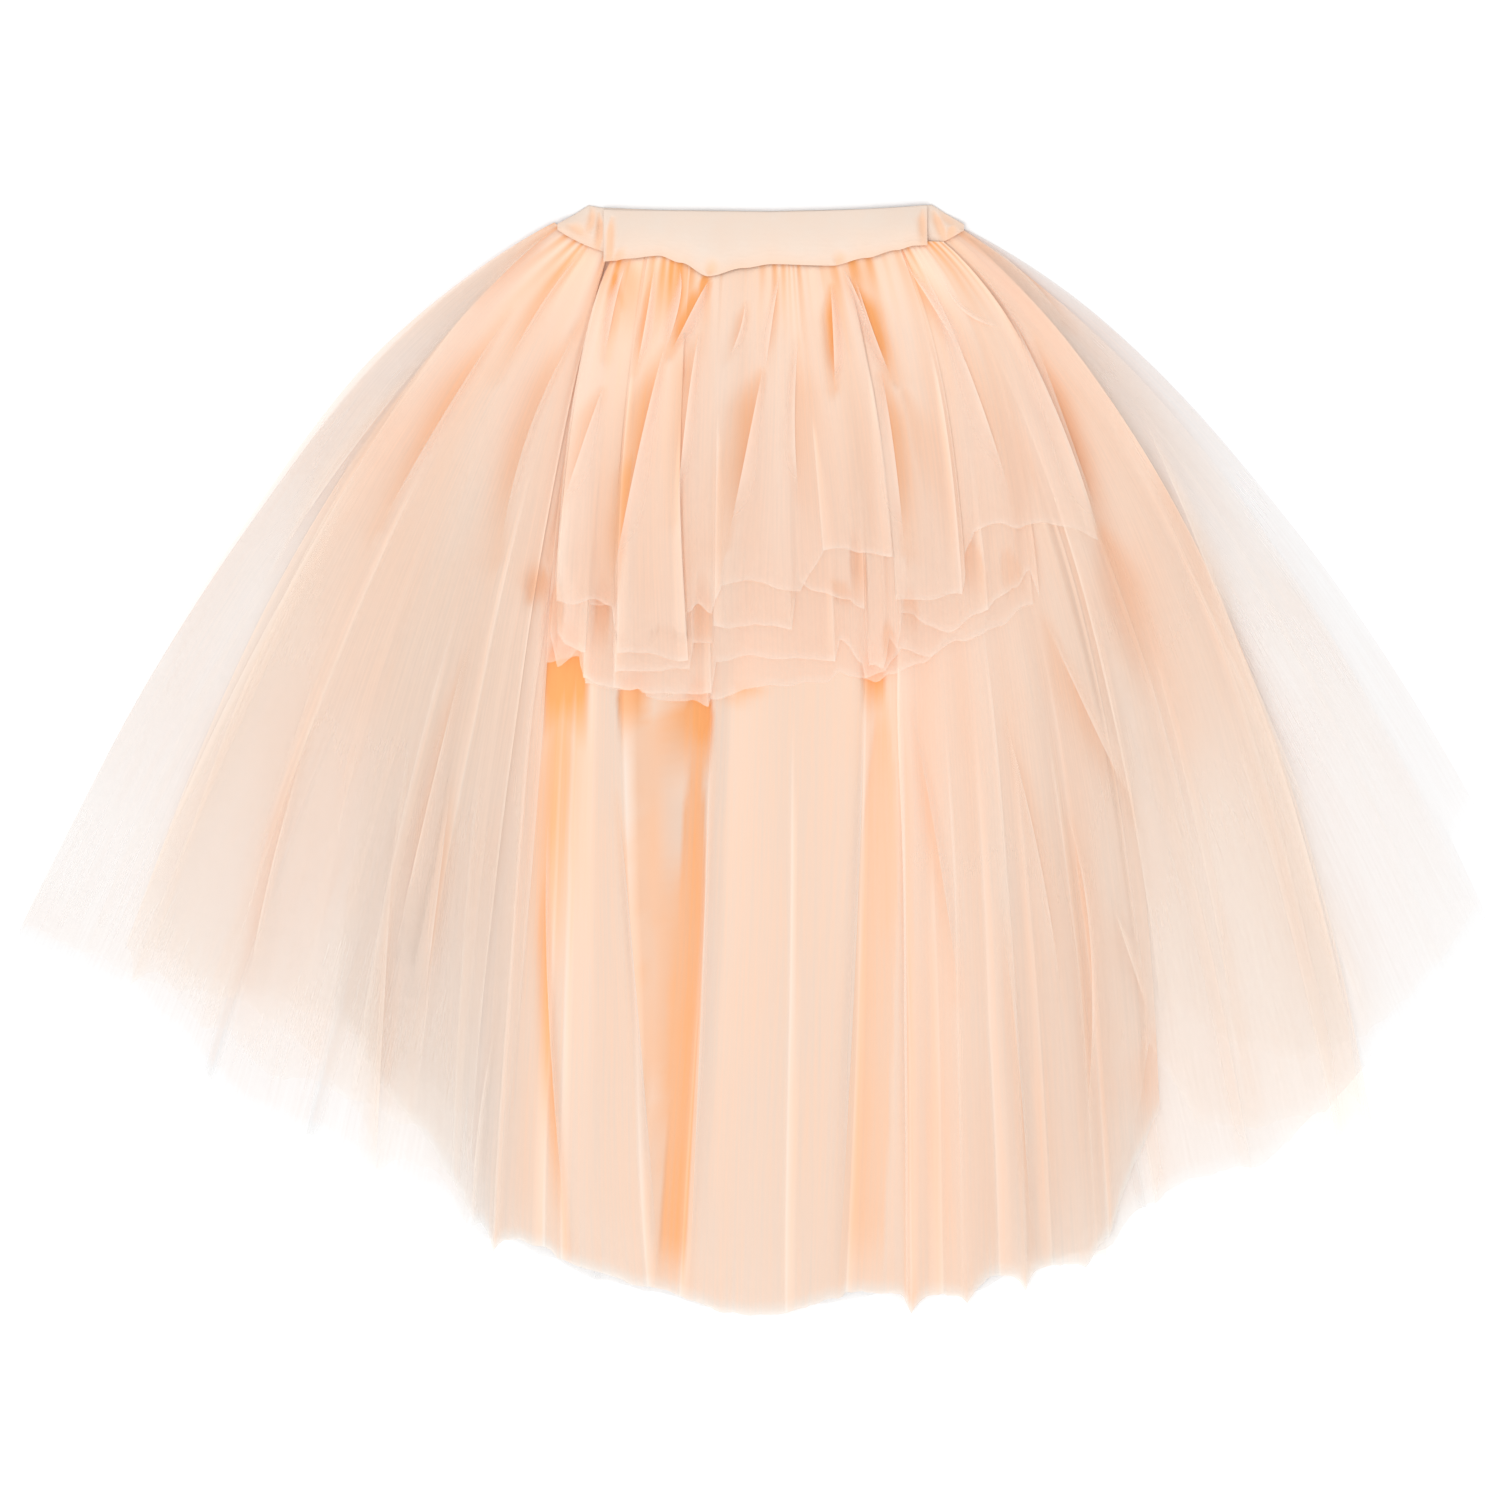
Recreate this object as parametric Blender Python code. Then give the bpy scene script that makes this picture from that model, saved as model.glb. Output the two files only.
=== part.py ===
"""Child's high-low tulle skirt, laid flat on a table with its waist towards +Y.

Metres, +Z up, origin on the table under the middle of the skirt's bounding box.
Every tulle layer is one gathered fan: a wall that leaves the waist seam narrow and
opens out along its fold lines to a raw-cut hem.  The layers are built from the
table up, each resting on the highest thing beneath it.
"""
import math
from collections import namedtuple

import bmesh
import bpy
from mathutils import Vector
from mathutils.bvhtree import BVHTree

MM = 0.001

# Driving sizes, in millimetres unless a name says otherwise.
MIDDLE_X = 7.0              # centre of the waist, left to right
BACK_SEAM_Y = 322.0         # back waist seam at its middle
BACK_SEAM_RISE = 22.0       # how much higher the seam ends than its middle
BACK_SEAM_HALF = 132.0      # half the flat waist
SEAM_GAP = 0.5              # between a band's lower edge and the tulle heads
LAYER_GAP = 0.5             # between a layer and what lies under it
TULLE_WALL = 1.0
BAND_WALL = 1.8
BOW_REACH = 0.35            # where along a fold line its sideways bow pulls
GATHER_LENGTH = 0.16        # share of the length over which seam gathers fade
PUFF_SKEW = 0.7             # under 1, a layer stands highest nearer the waist
FRONT_BAND_SAG = 0.8        # how much the front band's lower edge lifts off the back
CLOTH_ROUGHNESS = 0.9
STEEPEST_NORMAL = 0.45      # keeps a wall on a steep fold from growing too thick
PROBES = 5                  # probe points along each side of a triangle
SETTLING_ROUNDS = 14
TAUT_ROUNDS = 2             # how far a sheet bridges the dips under it
PINCH_ENDS = (0.15, 0.85)   # the part of a sine arch that shapes a band's pinch fold
HIGH_ABOVE = Vector((0.0, 0.0, 1.0))
DOWN = Vector((0.0, 0.0, -1.0))

# seam_x: where the fold leaves the waist seam; hem_x, hem_y: where it meets the hem;
# bow: how far it bellies to the right, or to the left when negative; lift: how high
# the fold stands at the hem; spike: extra length of a pointed hem fold.
Fold = namedtuple("Fold", "seam_x hem_x hem_y bow lift spike")

# x: place along the waist; top, bottom: the band's edges, where no bottom means that
# the band ends at the back seam; lift: how high its pinch folds stand.
BandSection = namedtuple("BandSection", "x top bottom lift")

# steps: columns between two folds; rungs: rows from seam to hem; loft: how far the
# layer stands off the one below half-way down; full: share of the length where the
# folds reach their full height; ripple: height of the small wave between two folds;
# gather: height of the gathers at the seam.
Layer = namedtuple("Layer", "name folds seam steps rungs loft full ripple gather colour")

OUTER_BACK_FOLDS = (
    Fold(-129, -478, -117, -44, 0, 0),
    Fold(-120, -448, -128, -40, 1, 0),
    Fold(-110, -411, -148, -36, 0, 0),
    Fold(-103, -376, -175, -32, 1, 0),
    Fold(-95, -354, -208, -30, 0, 0),
    Fold(-87, -325, -230, -27, 1, 0),
    Fold(-79, -290, -244, -25, 0, 0),
    Fold(-70, -246, -264, -21, 1, 0),
    Fold(-60, -207, -283, -17, 0, 0),
    Fold(-51, -169, -309, -13, 1, 0),
    Fold(-40, -130, -323, -10, 0, 0),
    Fold(-30, -95, -338, -6, 1, 0),
    Fold(-18, -62, -344, -4, 0, 0),
    Fold(-5, -23, -354, -1, 1, 0),
    Fold(8, 16, -356, 0, 0, 0),
    Fold(21, 57, -351, 1, 1, 0),
    Fold(34, 96, -344, 4, 0, 0),
    Fold(46, 136, -346, 6, 1, 0),
    Fold(56, 183, -328, 10, 0, 0),
    Fold(66, 224, -321, 14, 1, 0),
    Fold(75, 258, -291, 18, 0, 0),
    Fold(84, 292, -276, 22, 1, 0),
    Fold(94, 333, -264, 26, 0, 0),
    Fold(102, 374, -228, 30, 1, 0),
    Fold(110, 419, -172, 34, 0, 0),
    Fold(118, 452, -139, 36, 1, 0),
    Fold(125, 478, -101, 38, 0, 0),
    Fold(132, 458, -54, 36, 1, 0),
    Fold(139, 472, -29, 38, 0, 0),
)

MIDDLE_BACK_FOLDS = (
    Fold(-126, -402, -119, -39, 1, 0),
    Fold(-120, -391, -131, -36, 5, 16),
    Fold(-112, -367, -151, -34, 1, 0),
    Fold(-104, -337, -150, -31, 6, 6),
    Fold(-96, -311, -169, -29, 1, 0),
    Fold(-88, -281, -195, -26, 6, 0),
    Fold(-81, -254, -228, -23, 1, 0),
    Fold(-73, -238, -254, -21, 6, 26),
    Fold(-65, -211, -263, -18, 1, 0),
    Fold(-57, -183, -286, -15, 6, 24),
    Fold(-49, -162, -300, -12, 1, 14),
    Fold(-40, -130, -318, -8, 6, 0),
    Fold(-30, -95, -332, -6, 1, 0),
    Fold(-18, -62, -338, -3, 6, 0),
    Fold(-5, -22, -344, -1, 1, 0),
    Fold(9, 16, -347, 0, 5, 0),
    Fold(23, 57, -342, 1, 1, 0),
    Fold(36, 99, -341, 4, 6, 14),
    Fold(48, 138, -341, 7, 1, 8),
    Fold(58, 174, -324, 11, 6, 18),
    Fold(69, 200, -324, 16, 1, 0),
    Fold(78, 228, -317, 20, 6, 6),
    Fold(87, 263, -281, 25, 1, 6),
    Fold(96, 292, -266, 31, 6, 0),
    Fold(103, 325, -260, 37, 1, 0),
    Fold(111, 358, -247, 43, 6, 0),
    Fold(119, 380, -244, 49, 1, 0),
    Fold(129, 398, -233, 57, 4, 16),
)

INNER_BACK_FOLDS = (
    Fold(-122, -270, -159, -32, 0, 0),
    Fold(-116, -242, -205, -29, 8, 0),
    Fold(-109, -214, -240, -25, 2, 0),
    Fold(-103, -192, -273, -21, 8, 0),
    Fold(-98, -174, -296, -17, 2, 8),
    Fold(-93, -162, -309, -14, 8, 12),
    Fold(-90, -150, -312, -13, 2, 0),
    Fold(-87, -131, -318, -13, 2, 0),
    Fold(-84, -120, -326, -14, 9, 0),
    Fold(-78, -98, -332, -13, 10, 0),
    Fold(-72, -64, -340, -13, 10, 0),
    Fold(-39, -59, -342, 5, 6, 0),
    Fold(-35, -55, -343, 7, 0, 0),
    Fold(-18, -42, -346, 3, 0, 0),
    Fold(-14, -38, -348, 0, 10, 0),
    Fold(6, -10, -361, 0, 12, 0),
    Fold(32, 26, -360, 1, 12, 0),
    Fold(75, 57, -350, 5, 10, 0),
    Fold(78, 62, -346, 5, 2, 0),
    Fold(81, 96, -343, 5, 2, 0),
    Fold(84, 103, -348, 6, 9, 10),
    Fold(88, 124, -346, 10, 4, 0),
    Fold(92, 140, -346, 13, 9, 8),
    Fold(96, 162, -335, 16, 3, 0),
    Fold(101, 176, -330, 18, 9, 16),
    Fold(105, 195, -329, 20, 3, 0),
    Fold(110, 218, -326, 23, 9, 4),
    Fold(116, 235, -312, 26, 3, 0),
    Fold(121, 252, -260, 30, 9, 0),
    Fold(126, 266, -228, 35, 0, 0),
)

LEFT_INNER_FOLDS = (
    Fold(-126, -385, -124, -40, 1, 0),
    Fold(-122, -358, -146, -38, 7, 0),
    Fold(-118, -333, -146, -36, 3, 8),
    Fold(-114, -317, -150, -32, 8, 0),
    Fold(-109, -286, -162, -30, 1, 0),
    Fold(-105, -259, -176, -26, 7, 0),
    Fold(-101, -235, -195, -22, 3, 20),
    Fold(-98, -211, -205, -20, 8, 0),
    Fold(-95, -187, -228, -18, 3, 0),
    Fold(-93, -176, -254, -16, 7, 10),
    Fold(-92, -162, -302, -16, 4, 10),
)

LEFT_OUTER_FOLDS = (
    Fold(-129, -473, -107, -43, 0, 0),
    Fold(-124, -429, -124, -39, 4, 0),
    Fold(-117, -390, -146, -35, 2, 0),
    Fold(-110, -348, -176, -31, 6, 0),
    Fold(-104, -299, -208, -26, 2, 0),
    Fold(-99, -260, -221, -22, 6, 0),
    Fold(-95, -221, -234, -18, 2, 0),
    Fold(-92, -182, -260, -16, 6, 0),
)

RIGHT_INNER_FOLDS = (
    Fold(87, 101, -343, 5, 3, 8),
    Fold(90, 121, -341, 9, 7, 0),
    Fold(94, 138, -342, 13, 3, 8),
    Fold(98, 162, -326, 17, 8, 0),
    Fold(101, 177, -326, 20, 3, 14),
    Fold(105, 202, -322, 22, 8, 0),
    Fold(109, 226, -312, 26, 3, 0),
    Fold(113, 247, -260, 30, 7, 0),
    Fold(117, 260, -185, 34, 3, 0),
    Fold(121, 292, -234, 38, 8, 0),
    Fold(125, 322, -240, 42, 3, 0),
    Fold(129, 358, -228, 47, 8, 4),
    Fold(133, 377, -208, 51, 3, 0),
    Fold(136, 391, -214, 56, 6, 10),
)

RIGHT_OUTER_FOLDS = (
    Fold(117, 266, -156, 30, 2, 0),
    Fold(122, 312, -182, 34, 6, 0),
    Fold(125, 358, -195, 36, 2, 0),
    Fold(129, 400, -179, 38, 6, 0),
    Fold(132, 422, -156, 39, 2, 0),
    Fold(135, 448, -130, 39, 4, 0),
    Fold(138, 471, -94, 39, 0, 0),
)

FRONT_LONGEST_FOLDS = (
    Fold(-88, -124, 68, -9, 1, 0),
    Fold(-81, -107, 57, -8, 5, 0),
    Fold(-72, -90, 47, -6, 1, 0),
    Fold(-58, -70, 43, -4, 5, 0),
    Fold(-42, -43, 40, -2, 2, 0),
    Fold(-29, -26, 36, -1, 6, 0),
    Fold(-10, -6, 42, 0, 1, 0),
    Fold(10, 13, 46, 0, 5, 0),
    Fold(29, 32, 47, 1, 1, 0),
    Fold(46, 53, 47, 3, 5, 0),
    Fold(62, 73, 52, 5, 1, 0),
    Fold(77, 90, 60, 6, 5, 0),
    Fold(91, 110, 68, 9, 1, 0),
    Fold(104, 133, 78, 12, 4, 0),
    Fold(114, 153, 91, 14, 1, 0),
)

FRONT_LONG_FOLDS = (
    Fold(-88, -126, 78, -9, 0, 0),
    Fold(-79, -110, 68, -8, 5, 0),
    Fold(-68, -96, 60, -6, 1, 0),
    Fold(-55, -72, 60, -4, 5, 0),
    Fold(-39, -42, 57, -2, 1, 0),
    Fold(-25, -22, 56, -1, 5, 0),
    Fold(-8, -3, 62, 0, 1, 0),
    Fold(10, 16, 65, 0, 5, 0),
    Fold(29, 40, 64, 1, 1, 0),
    Fold(47, 62, 65, 3, 5, 0),
    Fold(64, 79, 61, 5, 1, 0),
    Fold(79, 101, 72, 8, 5, 0),
    Fold(92, 124, 81, 10, 1, 0),
    Fold(105, 153, 90, 13, 4, 0),
    Fold(117, 182, 96, 17, 1, 0),
)

FRONT_SHORT_FOLDS = (
    Fold(-89, -127, 100, -9, 0, 0),
    Fold(-83, -120, 86, -8, 6, 0),
    Fold(-75, -107, 77, -6, 1, 0),
    Fold(-65, -90, 79, -5, 7, 0),
    Fold(-53, -68, 74, -3, 1, 0),
    Fold(-39, -43, 73, -2, 8, 0),
    Fold(-27, -31, 96, -1, 1, 0),
    Fold(-18, -20, 96, -1, 7, 0),
    Fold(-3, -1, 72, 0, 1, 0),
    Fold(14, 23, 68, 0, 7, 0),
    Fold(32, 46, 72, 2, 1, 0),
    Fold(48, 66, 78, 4, 7, 0),
    Fold(62, 84, 83, 6, 1, 0),
    Fold(77, 105, 78, 8, 7, 0),
    Fold(91, 133, 83, 11, 1, 0),
    Fold(104, 157, 104, 14, 7, 0),
    Fold(117, 188, 96, 18, 1, 0),
)

FRONT_TOP_FOLDS = (
    Fold(-90, -126, 124, -10, 0, 0),
    Fold(-83, -107, 110, -9, 9, 0),
    Fold(-66, -88, 104, -5, 2, 0),
    Fold(-56, -73, 112, -5, 10, 0),
    Fold(-39, -39, 112, -3, 8, 0),
    Fold(-18, -22, 104, 0, 9, 0),
    Fold(0, -14, 114, 6, 0, 0),
    Fold(8, -3, 112, 6, 12, 0),
    Fold(23, 29, 112, 0, 6, 0),
    Fold(34, 55, 109, 1, 10, 0),
    Fold(47, 75, 100, 3, 8, 0),
    Fold(57, 87, 124, 6, 12, 0),
    Fold(65, 99, 130, 6, 2, 0),
    Fold(73, 107, 105, 8, 9, 0),
    Fold(86, 124, 105, 9, 6, 0),
    Fold(98, 140, 106, 10, 9, 0),
    Fold(103, 144, 140, 12, 6, 0),
    Fold(112, 172, 156, 14, 2, 0),
    Fold(120, 198, 151, 17, 10, 0),
    Fold(127, 224, 145, 16, 3, 0),
)

BAND_BACK_SECTIONS = (
    BandSection(-125, 348.0, None, 0.0),
    BandSection(-114, 354.5, None, 2.0),
    BandSection(-105, 360.5, None, 3.0),
    BandSection(-97, 359.0, None, 0.5),
    BandSection(-60, 357.5, None, 0.0),
    BandSection(7, 356.5, None, 0.0),
    BandSection(74, 358.0, None, 0.0),
    BandSection(110, 359.5, None, 0.5),
    BandSection(118, 361.0, None, 3.0),
    BandSection(128, 354.5, None, 2.0),
    BandSection(139, 348.0, None, 0.0),
)

BAND_FRONT_SECTIONS = (
    BandSection(-95, 358.0, 323.0, 0.0),
    BandSection(-88, 357.5, 323.5, 1.5),
    BandSection(-80, 357.3, 325.0, 0.3),
    BandSection(-59, 357.0, 327.0, 0.0),
    BandSection(-45, 357.0, 322.5, 0.0),
    BandSection(-27, 356.8, 313.5, 0.3),
    BandSection(-4, 356.4, 319.0, 0.0),
    BandSection(14, 356.2, 321.5, 0.0),
    BandSection(53, 357.2, 320.5, 0.0),
    BandSection(75, 358.0, 325.5, 0.0),
    BandSection(95, 359.0, 330.5, 0.3),
    BandSection(107, 359.8, 333.4, 1.5),
    BandSection(115, 360.5, 333.6, 0.0),
)


def eased(t):
    """Smooth step from 0 to 1."""
    t = min(max(t, 0.0), 1.0)
    return t * t * (3.0 - 2.0 * t)


def mix(a, b, t):
    return a + (b - a) * t


def back_seam(x):
    """Height on the table of the seam between the back band and the long layers."""
    return BACK_SEAM_Y + BACK_SEAM_RISE * (abs(x - MIDDLE_X) / BACK_SEAM_HALF) ** 4


def band_edge(sections, x, column):
    """A band's top or bottom edge at x, eased from section to section."""
    for a, b in zip(sections, sections[1:]):
        if x <= b.x:
            return mix(getattr(a, column), getattr(b, column), eased((x - a.x) / (b.x - a.x)))
    return getattr(sections[-1], column)


def front_seam(x):
    """The seam under the front band."""
    return band_edge(BAND_FRONT_SECTIONS, x, "bottom")


def between(a, b, t):
    """The fold line a share t of the way from fold a to fold b."""
    row = Fold(*(mix(p, q, t) for p, q in zip(a, b)))
    return row._replace(lift=mix(a.lift, b.lift, eased(t)), spike=0.0)


def fold_lines(layer):
    """Every column of a layer: its fold rows and the steps between them."""
    columns = []
    for a, b in zip(layer.folds, layer.folds[1:]):
        columns.append((a, 0.0))
        for step in range(1, layer.steps):
            t = step / layer.steps
            columns.append((between(a, b, t), math.sin(math.pi * t)))
    columns.append((layer.folds[-1], 0.0))
    return columns


def on_fold(fold, seam, v):
    """Plan position, in metres, at share v of a fold line from seam to hem."""
    head = Vector((fold.seam_x, seam(fold.seam_x) - SEAM_GAP))
    hem = Vector((fold.hem_x, fold.hem_y))
    run = hem - head
    hem += run.normalized() * fold.spike
    rightwards = Vector((-run.y, run.x)).normalized()
    knee = head + run * BOW_REACH + rightwards * 2.0 * fold.bow
    point = head * (1.0 - v) ** 2 + knee * 2.0 * v * (1.0 - v) + hem * v ** 2
    return point * MM


def grid_triangles(rows, columns):
    """Corner indices (i, j) of the triangles of a grid, two to a cell."""
    triangles = []
    for i in range(rows - 1):
        for j in range(columns - 1):
            a, b, c, d = (i, j), (i, j + 1), (i + 1, j + 1), (i + 1, j)
            triangles += [(a, b, c), (a, c, d)]
    return triangles


def surface(grid, triangles):
    """A searchable surface through a grid of points."""
    columns = len(grid[0])
    points = [point.to_3d() for row in grid for point in row]
    faces = [[i * columns + j for i, j in triangle] for triangle in triangles]
    return BVHTree.FromPolygons(points, faces)


def shares(p, a, b, c):
    """How much each corner of a triangle counts at the point p, seen from above."""
    whole = (b - a).cross(c - a)
    of_b = (p - a).cross(c - a) / whole
    of_c = (b - a).cross(p - a) / whole
    return 1.0 - of_b - of_c, of_b, of_c


class Pile:
    """The layers already laid, and how high they reach at any place."""

    def __init__(self):
        self.tops = []
        self.points = []

    def add(self, over):
        self.tops.append(surface(over, grid_triangles(len(over), len(over[0]))))
        self.points += [point for row in over for point in row]

    def height(self, place):
        best = 0.0
        for top in self.tops:
            hit = top.ray_cast(place.to_3d() + HIGH_ABOVE, DOWN)[0]
            if hit is not None:
                best = max(best, hit.z)
        return best

    def supports(self, plan):
        """What holds a sheet up: (corners, their shares, height of the pile there)."""
        triangles = grid_triangles(len(plan), len(plan[0]))
        found = []
        for corners in triangles:
            places = [plan[i][j] for i, j in corners]
            for m in range(PROBES + 1):
                for n in range(PROBES + 1 - m):
                    share = (m / PROBES, n / PROBES, (PROBES - m - n) / PROBES)
                    place = sum((p * s for p, s in zip(places, share)), Vector((0.0, 0.0)))
                    found.append((corners, share, self.height(place)))
        flat = surface(plan, triangles)
        for point in self.points:
            place = point.to_2d()
            index = flat.ray_cast(place.to_3d() + HIGH_ABOVE, DOWN)[2]
            if index is not None:
                corners = triangles[index]
                share = shares(place, *(plan[i][j] for i, j in corners))
                found.append((corners, share, point.z))
        return [support for support in found if support[2] > 0.0]


def settle(pile, plan, raised):
    """Lower a shaped sheet onto the pile; returns its underside's heights."""
    supports = pile.supports(plan)
    rows, columns = len(plan), len(plan[0])
    lifts = [[0.0] * columns for _ in range(rows)]

    def rest():
        for corners, share, top in supports:
            here = sum((lifts[i][j] + raised[i][j]) * s for (i, j), s in zip(corners, share))
            short = top + LAYER_GAP * MM - here
            if short > 0.0:
                pull = short / sum(s * s for s in share)
                for (i, j), s in zip(corners, share):
                    lifts[i][j] += pull * s

    for _ in range(SETTLING_ROUNDS):
        rest()
    for _ in range(TAUT_ROUNDS):
        before = [row[:] for row in lifts]
        for i in range(rows):
            for j in range(1, columns):
                left, right = before[max(i - 1, 0)][j], before[min(i + 1, rows - 1)][j]
                up, down = before[i][j - 1], before[i][min(j + 1, columns - 1)]
                lifts[i][j] = max(before[i][j], 0.25 * (left + right + up + down))
    return [[lifts[i][j] + raised[i][j] for j in range(columns)] for i in range(rows)]


def material(name, colour):
    made = bpy.data.materials.new(name)
    made.use_nodes = True
    shader = made.node_tree.nodes["Principled BSDF"]
    shader.inputs["Base Color"].default_value = (*colour, 1.0)
    shader.inputs["Roughness"].default_value = CLOTH_ROUGHNESS
    shader.inputs["Metallic"].default_value = 0.0
    return made


def wall(name, under, over, colour):
    """A closed wall between an under grid and an over grid of points."""
    rows, columns = len(under), len(under[0])
    mesh = bpy.data.meshes.new(name)
    bm = bmesh.new()
    low = [[bm.verts.new(point) for point in row] for row in under]
    high = [[bm.verts.new(point) for point in row] for row in over]
    for corners in grid_triangles(rows, columns):
        bm.faces.new([high[i][j] for i, j in corners])
        bm.faces.new([low[i][j] for i, j in reversed(corners)])
    rim = [(i, 0) for i in range(rows)] + [(rows - 1, j) for j in range(1, columns)]
    rim += [(i, columns - 1) for i in range(rows - 2, -1, -1)]
    rim += [(0, j) for j in range(columns - 2, 0, -1)]
    for (i, j), (m, n) in zip(rim, rim[1:] + rim[:1]):
        bm.faces.new((low[i][j], high[i][j], high[m][n], low[m][n]))
    bmesh.ops.triangulate(bm, faces=bm.faces)
    bmesh.ops.recalc_face_normals(bm, faces=bm.faces)
    bm.to_mesh(mesh)
    bm.free()
    mesh.shade_smooth()
    piece = bpy.data.objects.new(name, mesh)
    piece.data.materials.append(material(name + "_cloth", colour))
    bpy.context.collection.objects.link(piece)
    return piece


def over_points(under, thickness):
    """The upper side of a wall: each point raised so that the wall keeps its thickness."""
    rows, columns = len(under), len(under[0])
    over = []
    for i, row in enumerate(under):
        line = []
        for j, point in enumerate(row):
            across = under[min(i + 1, rows - 1)][j] - under[max(i - 1, 0)][j]
            along = row[min(j + 1, columns - 1)] - row[max(j - 1, 0)]
            upright = max(abs(across.cross(along).normalized().z), STEEPEST_NORMAL)
            line.append(point + Vector((0.0, 0.0, thickness * MM / upright)))
        over.append(line)
    return over


def lay(pile, name, under, over, colour):
    """Build a wall and add its upper side to the pile."""
    pile.add(over)
    return wall(name, under, over, colour)


def floor_layer(pile, layer):
    """The lowest layer: its underside is flat on the table, its folds press upwards."""
    under, over = [], []
    for fold, _ in fold_lines(layer):
        plan = [on_fold(fold, layer.seam, v) for v in layer.rungs]
        under.append([p.to_3d() for p in plan])
        over.append([Vector((p.x, p.y, (TULLE_WALL + fold.lift * eased(v)) * MM))
                     for p, v in zip(plan, layer.rungs)])
    return lay(pile, layer.name, under, over, layer.colour)


def gathered_layer(pile, layer):
    """A gathered fan that lies on the pile."""
    plan, raised = [], []
    for i, (fold, wave) in enumerate(fold_lines(layer)):
        plan.append([on_fold(fold, layer.seam, v) for v in layer.rungs])
        column = []
        for v in layer.rungs:
            puff = layer.loft * math.sin(math.pi * v ** PUFF_SKEW)
            folded = (fold.lift + layer.ripple * wave) * eased(v / layer.full)
            gathered = layer.gather * (i % 2) * math.exp(-v / GATHER_LENGTH)
            column.append((puff + folded + gathered) * MM)
        raised.append(column)
    heights = settle(pile, plan, raised)
    under = [[Vector((p.x, p.y, z)) for p, z in zip(*column)] for column in zip(plan, heights)]
    return lay(pile, layer.name, under, over_points(under, TULLE_WALL), layer.colour)


def band_grid(sections, seam, rungs, steps):
    """Columns of a band: plan points from the top edge down, and the pinch at each."""
    xs = [mix(a.x, b.x, k / steps) for a, b in zip(sections, sections[1:]) for k in range(steps)]
    plan, pinches = [], []
    for x in xs + [sections[-1].x]:
        top, bottom, lift = band_edge(sections, x, "top"), seam(x), band_edge(sections, x, "lift")
        plan.append([Vector((x, mix(top, bottom, v))) * MM for v in rungs])
        pinches.append([lift * math.sin(math.pi * mix(*PINCH_ENDS, v)) * MM for v in rungs])
    return plan, pinches


def back_band(pile, name, sections, rungs, steps, colour):
    """The band's back half: flat on the table, its side pinches pressed upwards."""
    plan, pinches = band_grid(sections, back_seam, rungs, steps)
    under = [[p.to_3d() for p in column] for column in plan]
    over = [[Vector((p.x, p.y, BAND_WALL * MM + lift)) for p, lift in zip(*column)]
            for column in zip(plan, pinches)]
    return lay(pile, name, under, over, colour)


def front_band(pile, name, sections, rungs, steps, colour):
    """The band's front half: it lies on the back half and lifts towards the tulle."""
    plan, pinches = band_grid(sections, front_seam, rungs, steps)
    raised = [[lift + FRONT_BAND_SAG * v * MM for lift, v in zip(column, rungs)]
              for column in pinches]
    heights = settle(pile, plan, raised)
    under = [[Vector((p.x, p.y, z)) for p, z in zip(*column)] for column in zip(plan, heights)]
    return lay(pile, name, under, over_points(under, BAND_WALL), colour)


PALE = (0.93, 0.83, 0.76)
PEACH = (0.94, 0.68, 0.50)
JERSEY = (0.94, 0.76, 0.63)

LONG_RUNGS = (0.0, 0.07, 0.17, 0.32, 0.5, 0.7, 0.86, 1.0)
SHORT_RUNGS = (0.0, 0.15, 0.45, 0.75, 1.0)
TOP_RUNGS = (0.0, 0.07, 0.18, 0.34, 0.54, 0.77, 1.0)
BACK_BAND_RUNGS = (0.0, 0.5, 1.0)
FRONT_BAND_RUNGS = (0.0, 0.35, 0.7, 1.0)

LAYERS_UNDER_BAND = (
    Layer("back_outer_tulle", OUTER_BACK_FOLDS, back_seam, 2, LONG_RUNGS, 0, 1.0, 0, 0, PALE),
    Layer("back_middle_tulle", MIDDLE_BACK_FOLDS, back_seam, 2, LONG_RUNGS, 3, 0.5, 0, 0.5, PALE),
    Layer("back_inner_tulle", INNER_BACK_FOLDS, back_seam, 2, LONG_RUNGS, 5, 0.4, 0, 0.5, PEACH),
)
LAYERS_OVER_BACK = (
    Layer("left_inner_tulle", LEFT_INNER_FOLDS, back_seam, 4, LONG_RUNGS, 4, 0.4, 3, 1.5, PEACH),
    Layer("left_outer_tulle", LEFT_OUTER_FOLDS, back_seam, 4, LONG_RUNGS, 4, 0.5, 3, 1.5, PALE),
    Layer("right_inner_tulle", RIGHT_INNER_FOLDS, back_seam, 3, LONG_RUNGS, 4, 0.4, 2, 1.5, PEACH),
    Layer("right_outer_tulle", RIGHT_OUTER_FOLDS, back_seam, 4, LONG_RUNGS, 4, 0.5, 3, 1.5, PALE),
)
FRONT_LAYERS = (
    Layer("front_first_tulle", FRONT_LONGEST_FOLDS, front_seam, 2, SHORT_RUNGS, 6, 0.6, 0, 0.5, PEACH),
    Layer("front_second_tulle", FRONT_LONG_FOLDS, front_seam, 2, SHORT_RUNGS, 4, 0.6, 0, 0.5, PEACH),
    Layer("front_third_tulle", FRONT_SHORT_FOLDS, front_seam, 2, SHORT_RUNGS, 4, 0.6, 0, 0.5, PEACH),
    Layer("front_top_tulle", FRONT_TOP_FOLDS, front_seam, 4, TOP_RUNGS, 5, 0.35, 2, 2.5, PEACH),
)


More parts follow.
